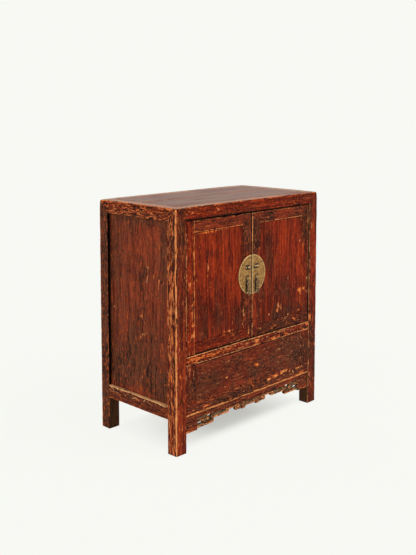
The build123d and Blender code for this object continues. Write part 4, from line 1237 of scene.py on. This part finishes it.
# turned shapes, as pairs of radius and height
profiles = {
    "knob": [(2.2, 0.0), (2.1, 0.7), (1.4, 1.4), (0.3, 1.7)],
    "collar": [(4.6, 0.4), (4.4, 1.5), (3.2, 2.1), (1.0, 2.2)],
    "rosette": [
        (9.0, 0.0), (9.0, 0.5), (8.6, 0.9), (7.6, 1.15), (6.3, 0.85), (5.2, 0.8), (4.4, 1.2), (3.2, 1.55),
        (1.0, 1.6),
    ],
    "legs": [(2.6, 0.0), (2.5, 0.8), (1.9, 1.3), (0.6, 1.5)],
    "nail": [(2.6, 0.0), (2.55, 0.35), (2.2, 0.8), (1.5, 1.13), (0.7, 1.27), (0.15, 1.3)],
}
plateLow, plateHigh = span("door_left_lock_plate")
plateFace = plateLow[1] / mm
plateMid = (plateLow[2] + plateHigh[2]) / 2 / mm
lugHigh, pullHigh = plateMid + brass["lugRise"], plateMid - brass["pullDrop"]
stapleOut = plateFace - brass["rosetteThick"] - brass["play"] - brass["wire"] - brass["staple"]


def nearLine(x, z, start, end, radius):
    # 1 on a line between two points, falling to 0 at about twice the radius
    return hill(farFrom(np.array([[x, z]]), [start, end])[0], 0.0, radius)


def plateShadeAndDirt(side, x, z):
    # painted shade and dirt round the fittings, a painted shadow behind the pull, and painted shade down the
    # left half's edge at the gap; x outwards from the gap, z from the plate's middle
    rise = brass["lugRise"]
    pullX = brass["pull"] - 5.0 * side
    return max(
        1.0 * nearLine(x, z, (15.0, rise + 5.5), (34.0, rise + 7.5), 4.4),
        1.0 * nearLine(x, z, (11.5, rise - 5.0), (35.0, rise - 5.0), 4.2),
        1.1 * hill(math.hypot(x - brass["pull"], z + brass["pullDrop"]), 10.0, 3.0),
        0.95 * nearLine(x, z, (pullX, -22.0), (pullX - 1.0, -58.0), 6.2),
        1.6 * max(0.0, 1 - x / 6.5) if side < 0 else 0.0,
        0.45 * max(0.0, 1 - abs(math.hypot(x, z) - 66.0) / 1.6),
    )


def halfPlate(side):
    # a disc beaten by hand: rolled rim, low ring inside it, and the straight edge at the gap
    plate, free = brass["plate"], freeX / mm
    across, around = 46, 97
    front = np.zeros((across, around, 3))
    edge, grime = np.zeros((2, across, around))
    for i, share in enumerate(1 - (1 - np.linspace(0, 1, across)) ** 1.35):
        radius = share * (plate - 0.05)
        inside = plate - radius
        for j, angle in enumerate(np.linspace(-math.pi / 2, math.pi / 2, around)):
            x = radius * math.cos(angle)
            z = radius * math.sin(angle)
            rise = noise.noise(Vector((x * side, z, 3.0)) * 0.11) * 0.13
            rise += noise.noise(Vector((x * side, z, 8.0)) * 0.3) * 0.07
            rise = rise + 0.28 * hill(inside, 2.6, 1.1)
            rise -= 0.16 * hill(inside, 5.2, 0.7)
            rise -= 1.0 * max(0.0, 1 - inside / 0.9) ** 2
            rise -= 0.7 * max(0.0, 1 - x / 0.8) ** 2
            front[i, j] = (side * (free + x * (plate - free) / plate), plateFace - rise, plateMid + z)
            # a painted highlight down the right half's edge at the gap
            lit = 1.2 * (1 - x / 5.0) if side > 0 else 0.0
            edge[i, j] = max(0.0, 1 - abs(inside - 2.0) / 2.4, lit)
            grime[i, j] = plateShadeAndDirt(side, x, z)
    back = front.copy()
    back[..., 1] = doorFront / mm
    total = across * around
    faces = []
    for i in range(across - 1):
        for j in range(around - 1):
            a = i * around + j
            face = (a, a + 1, a + around + 1, a + around)
            faces += [face, tuple(total + corner for corner in reversed(face))]
    border = [(across - 1) * around + j for j in range(around)]
    border += [i * around + around - 1 for i in range(across - 2, -1, -1)]
    border += [i * around for i in range(1, across - 1)]
    for corner, following in zip(border, border[1:] + border[:1]):
        faces.append((corner, following, total + following, total + corner))
    points = np.vstack([front.reshape(-1, 3), back.reshape(-1, 3)])
    return points, faces, {"edge": np.tile(edge.ravel(), 2), "grime": np.tile(grime.ravel(), 2)}


def leafLug(side):
    # a leaf with a pinched waist and a curled tip, and the eye that the lock's pin goes through
    lug, leaf, long, most = side * brass["lug"], side * brass["leaf"], brass["leafLong"], brass["leafHalf"]
    rows = []
    for share in np.linspace(-1, 1, 41):
        body = most * max(0.0, 1 - abs(share) ** 2.6) ** 0.62
        waist = 1 - 0.42 * hill(share * side, 0.52, 0.13) - 0.3 * hill(share * side, -0.62, 0.1)
        half = max(0.35, body * waist)
        arch = 0.7 + 1.1 * (half / most)
        droop = 1.2 * (share * side) ** 2
        row = []
        for turn in circle(18):
            up, out = math.cos(turn), math.sin(turn)
            y = plateFace - max(0.0, out) * arch - 0.05 + 0.15 * (out < 0)
            row.append((leaf + share * long, y, lugHigh + up * half + droop - 0.6))
        rows.append(row)
    eyeY = plateFace - 1.2 - 0.2 - brass["eyeHole"]
    middle = (brass["eye"] + brass["eyeHole"]) / 2
    wire = (brass["eye"] - brass["eyeHole"]) / 2
    return [
        tube(rows),
        ring((lug, eyeY, lugHigh), 0, middle, wire, 32, 12, brass["eyeWide"] / 2 / wire),
        lathe((side * (brass["leaf"] + long - 3.0), plateFace - 0.6, lugHigh + 0.2), profiles["knob"], 14),
        lathe((lug, plateFace, lugHigh), profiles["collar"], 20),
        clinched(lug, lugHigh),
    ]


def clinched(x, z):
    # a staple's legs, bent flat behind the door
    rows = []
    for share in np.linspace(-1, 1, 13):
        half = 1.5 * (1 - 0.55 * max(0.0, abs(share) - 0.55) / 0.45)
        rows.append([
            (x + half * math.cos(turn), doorBack / mm + 0.45 + 0.5 * math.sin(turn), z + 8.0 * share)
            for turn in circle(10)
        ])
    return tube(rows)


def staple(side):
    x = side * brass["pull"]
    return [
        ring((x, stapleOut, pullHigh), 0, brass["staple"] - 0.01, brass["wire"], 32, 12),
        lathe((x, plateFace - 1.2, pullHigh), profiles["legs"], 16),
        clinched(x, pullHigh),
    ]


def pullDrop(side):
    # flat vase-shaped drop: thin edge, raised border, swollen middle
    hangs = plateMid - brass["pullDrop"] - brass["staple"]
    x = side * brass["pull"]
    bail = ring((x, stapleOut, hangs), 1, brass["bail"], brass["bailWire"], 28, 10, 1.1)
    depths, halves = zip(*pullOutline)
    rows = []
    edge = [0.0] * len(bail[0])
    grime = [0.2] * len(bail[0])
    for fall in np.linspace(depths[0], depths[-1], 64):
        half = np.interp(fall, depths, halves)
        row = []
        for turn in circle(28):
            wide = math.copysign(abs(math.cos(turn)) ** 0.8, math.cos(turn))
            inside = half * (1 - abs(wide))
            swell = 0.45 + 0.6 * min(1.0, inside / 3.2) + 0.1 * math.sin(fall * 1.1) * min(1.0, inside / 2.0)
            swell += 0.18 * hill(inside, 0.9, 0.5) - 0.16 * hill(inside, 2.0, 0.5)
            swell = min(swell, 1.1) * min(1.0, half / 2.0)
            thin = math.copysign(min(1.0, abs(math.sin(turn)) * 1.6) * swell, math.sin(turn))
            row.append((x + half * wide, stapleOut + thin, hangs - fall))
            edge.append(max(0.0, 1 - abs(inside - 0.9) / 0.9))
            ripple = 0.5 * (fall > 9.0) * (0.5 - 0.5 * math.sin(fall * 0.55))
            grime.append(0.95 * hill(inside, 2.4, 0.8) + ripple)
        rows.append(row)
    return [bail, tube(rows)], {"edge": np.array(edge + [0.0, 0.0]), "grime": np.array(grime + [0.0, 0.0])}


def nails(side):
    made = []
    for k, angle in enumerate(brass["nailAngles"]):
        turn = math.radians(angle)
        x = side * brass["nailRing"] * math.cos(turn)
        z = plateMid + brass["nailRing"] * math.sin(turn)
        grown = 1 - 0.05 * (k % 3)
        profile = [(radius * grown, rise) for radius, rise in profiles["nail"]]
        made.append(lathe((x, plateFace, z), profile, 18))
    return made


def lugShade(points, side):
    # painted shade in the leaf's pinched waists and along its lower edge
    along = (points[:, 0] * side - brass["leaf"]) / brass["leafLong"]
    up = points[:, 2] - plateMid - brass["lugRise"]
    return 1.1 * (hill(along, 0.52, 0.17) + hill(along, -0.6, 0.15)) + np.clip((-0.9 - up) / 1.1, 0, 1)


def rosetteShade(points, side):
    # painted shade on one side of the petals, away from the light
    along = points[:, 0] - side * brass["pull"] - 4.4
    up = points[:, 2] - plateMid + brass["pullDrop"] + 1.0
    return 1.2 * np.exp(-((along / 3.2) ** 2) - (up / 5.0) ** 2)


def placeBrass(name, node, body, parts, finish, values=None, dirt=None):
    points, faces = joined(parts)
    if values is None:
        # painted shade and dirt where a fitting meets the plate, and high places lightened as painted
        # highlights
        rise = plateFace - points[:, 1]
        grime = 1.15 * np.clip(1 - rise / 1.3, 0, 1)
        values = {"grime": np.maximum(grime, dirt(points)) if dirt else grime}
        values["edge"] = np.clip((rise - 1.1) / 0.6, 0, 1) * np.clip(1.2 - values["grime"], 0, 1)
    dress(addMesh(name, points * mm, faces, finish, values, 40.0, weld=True), body, node)


for name, side in (("left", -1), ("right", 1)):
    door, pull = "door_" + name, "pull_" + name
    plate = halfPlate(side)
    placeBrass(door + "_plate_beaten", door + "_lock_plate", door, [plate[:2]], plateBrass, plate[2])
    rosette = lathe((side * brass["pull"], plateFace, pullHigh), profiles["rosette"], 64, 8, 0.09)
    # dark on the nail heads, painted shade on the lugs and rosettes
    for made, node, parts, dirt in (
        ("_nail_heads", "_plate_nails", nails(side), lambda points: 0.6),
        ("_lug_leaf", "_lock_lug", leafLug(side), lambda points: lugShade(points, side)),
        ("_rosette_petals", "_pull_rosette", [rosette], lambda points: rosetteShade(points, side)),
        ("_staple_wire", "_pull_staple", staple(side), None),
    ):
        placeBrass(door + made, door + node, door, parts, pullBrass, dirt=dirt)
    parts, values = pullDrop(side)
    placeBrass(pull + "_drop", pull, pull, parts, pullBrass, values)
print("brass made")


# Inside: the frame's own boards with eased edges
for material, nodes in (
    (innerWood, ("shelf", "main_floor", "store_floor", "door_left_battens", "door_right_battens")),
    (innerWoodDeep, ("store_lid", "shelf_cleats", "floor_cleats", "floor_bearers", "top_battens")),
):
    for node in nodes:
        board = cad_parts[node]
        board.data.materials.clear()
        board.data.materials.append(material)
        eased = board.modifiers.new("eased", "BEVEL")
        eased.width = 0.8 * mm
        eased.segments = 2
        eased.limit_method = "ANGLE"


# Stage: pale floor, plain soft light, camera at the near left corner
stageLook = {
    "paper": tint(248, 249, 244),
    "skyTint": (1.0, 1.0, 1.0, 1.0),
    "skyLevel": 0.62,
    "keyLevel": 1.75, "keySoft": 40, "keyFrom": (0.45, -0.75, 1.1),
    "fillLevel": 0.95, "fillSoft": 60, "fillFrom": (-0.9, -0.35, 0.6),
    "floorShade": 0.78,  # the floor's own colour as a share of the paper
    "floorHalf": 30.0,  # metres
    "shadowNear": 0.5,  # share of the shadow that shows under the middle of the cabinet
    "shadowFar": 0.05,  # and outside it
    "shadowSide": 0.3,  # metres inwards from the sides over which it grows
    "shadowFront": 0.085,  # and inwards from the front
}


def seenDirectly(f):
    # 1 for rays from the camera, off a glossy face or through glass, and 0 for those that light things
    path = f.tree.nodes.new("ShaderNodeLightPath")
    kinds = ("Is Camera Ray", "Is Glossy Ray", "Is Transmission Ray")
    direct, glossy, glass = (Signal(f, path.outputs[kind]) for kind in kinds)
    return direct.atLeast(glossy).atLeast(glass)


def makeWorld():
    world = bpy.data.worlds.new("room")
    bpy.context.scene.world = world
    f = Finish(world)
    f.tree.nodes.clear()
    light = f.node("ShaderNodeBackground", {}, {0: stageLook["skyTint"], 1: stageLook["skyLevel"]})
    paper = f.node("ShaderNodeBackground", {}, {0: stageLook["paper"], 1: 1.0})
    mixed = f.node("ShaderNodeMixShader", {}, {0: seenDirectly(f), 1: light, 2: paper})
    f.feed(f.tree.nodes.new("ShaderNodeOutputWorld").inputs[0], mixed)


def makeFloor():
    # paper that glows enough to match the backdrop and keeps the cabinet's own shadow
    f = Finish(bpy.data.materials.new("floorPaper"))
    shade = tuple(part * stageLook["floorShade"] for part in stageLook["paper"][:3]) + (1.0,)
    diffuse = f.node("ShaderNodeBsdfDiffuse", {}, {0: shade})
    glow = f.node("ShaderNodeEmission", {}, {0: stageLook["paper"], 1: 1.0})
    place = f.node("ShaderNodeNewGeometry", {}, {}, "Position")
    away = f.node("ShaderNodeVectorMath", {"operation": "ABSOLUTE"}, {0: place})
    outline = (rightOut, backOut, 10.0)
    inwards = f.node("ShaderNodeVectorMath", {"operation": "SUBTRACT"}, {0: outline, 1: away})
    fromSide = f.node("ShaderNodeSeparateXYZ", {}, {0: inwards}, "X")
    fromFront = f.node("ShaderNodeSeparateXYZ", {}, {0: inwards}, "Y")
    below = (fromSide * (1 / stageLook["shadowSide"])).atLeast(0.0).atMost(1.0)
    below = below * fromFront.between(0.0, stageLook["shadowFront"])
    below = below * (1.0 - f.node("ShaderNodeSeparateXYZ", {}, {0: place}, "Y").between(-0.06, 0.14) * 0.55)
    share = 1.0 - (stageLook["shadowFar"] + below * (stageLook["shadowNear"] - stageLook["shadowFar"]))
    mixed = f.node("ShaderNodeMixShader", {}, {0: share * seenDirectly(f), 1: diffuse, 2: glow})
    f.tree.nodes.remove(f.tree.nodes["Principled BSDF"])
    f.feed(f.tree.nodes["Material Output"].inputs[0], mixed)
    half = stageLook["floorHalf"]
    corners = [(-half, -half, 0), (half, -half, 0), (half, half, 0), (-half, half, 0)]
    addMesh("floor", corners, [(0, 1, 2, 3)], f.owner)


def addSun(name):
    data = bpy.data.lights.new(name, "SUN")
    data.energy = stageLook[name + "Level"]
    data.angle = math.radians(stageLook[name + "Soft"])
    lamp = bpy.data.objects.new(name, data)
    lamp.rotation_mode = "QUATERNION"
    lamp.rotation_quaternion = Vector(stageLook[name + "From"]).to_track_quat("Z", "Y")
    bpy.context.scene.collection.objects.link(lamp)


makeWorld()
makeFloor()
addSun("key")
addSun("fill")

cameraLook = {
    "place": (-2.37999, -2.29852, 1.26070),
    "turn": 0.79684,
    "dip": 0.1,
    "lens": 53.837,
    "shift": -0.16111,
}
cameraData = bpy.data.cameras.new("camera")
camera = bpy.data.objects.new("camera", cameraData)
bpy.context.scene.collection.objects.link(camera)
cameraData.sensor_width = 36.0
cameraData.lens = cameraLook["lens"]
cameraData.shift_y = cameraLook["shift"]
camera.location = cameraLook["place"]
turn, dip = cameraLook["turn"], cameraLook["dip"]
forward = Vector((math.sin(turn) * math.cos(dip), math.cos(turn) * math.cos(dip), -math.sin(dip)))
camera.rotation_mode = "QUATERNION"
camera.rotation_quaternion = forward.to_track_quat("-Z", "Y")
bpy.context.scene.camera = camera
bpy.context.scene.view_settings.view_transform = "Standard"
print("stage made")
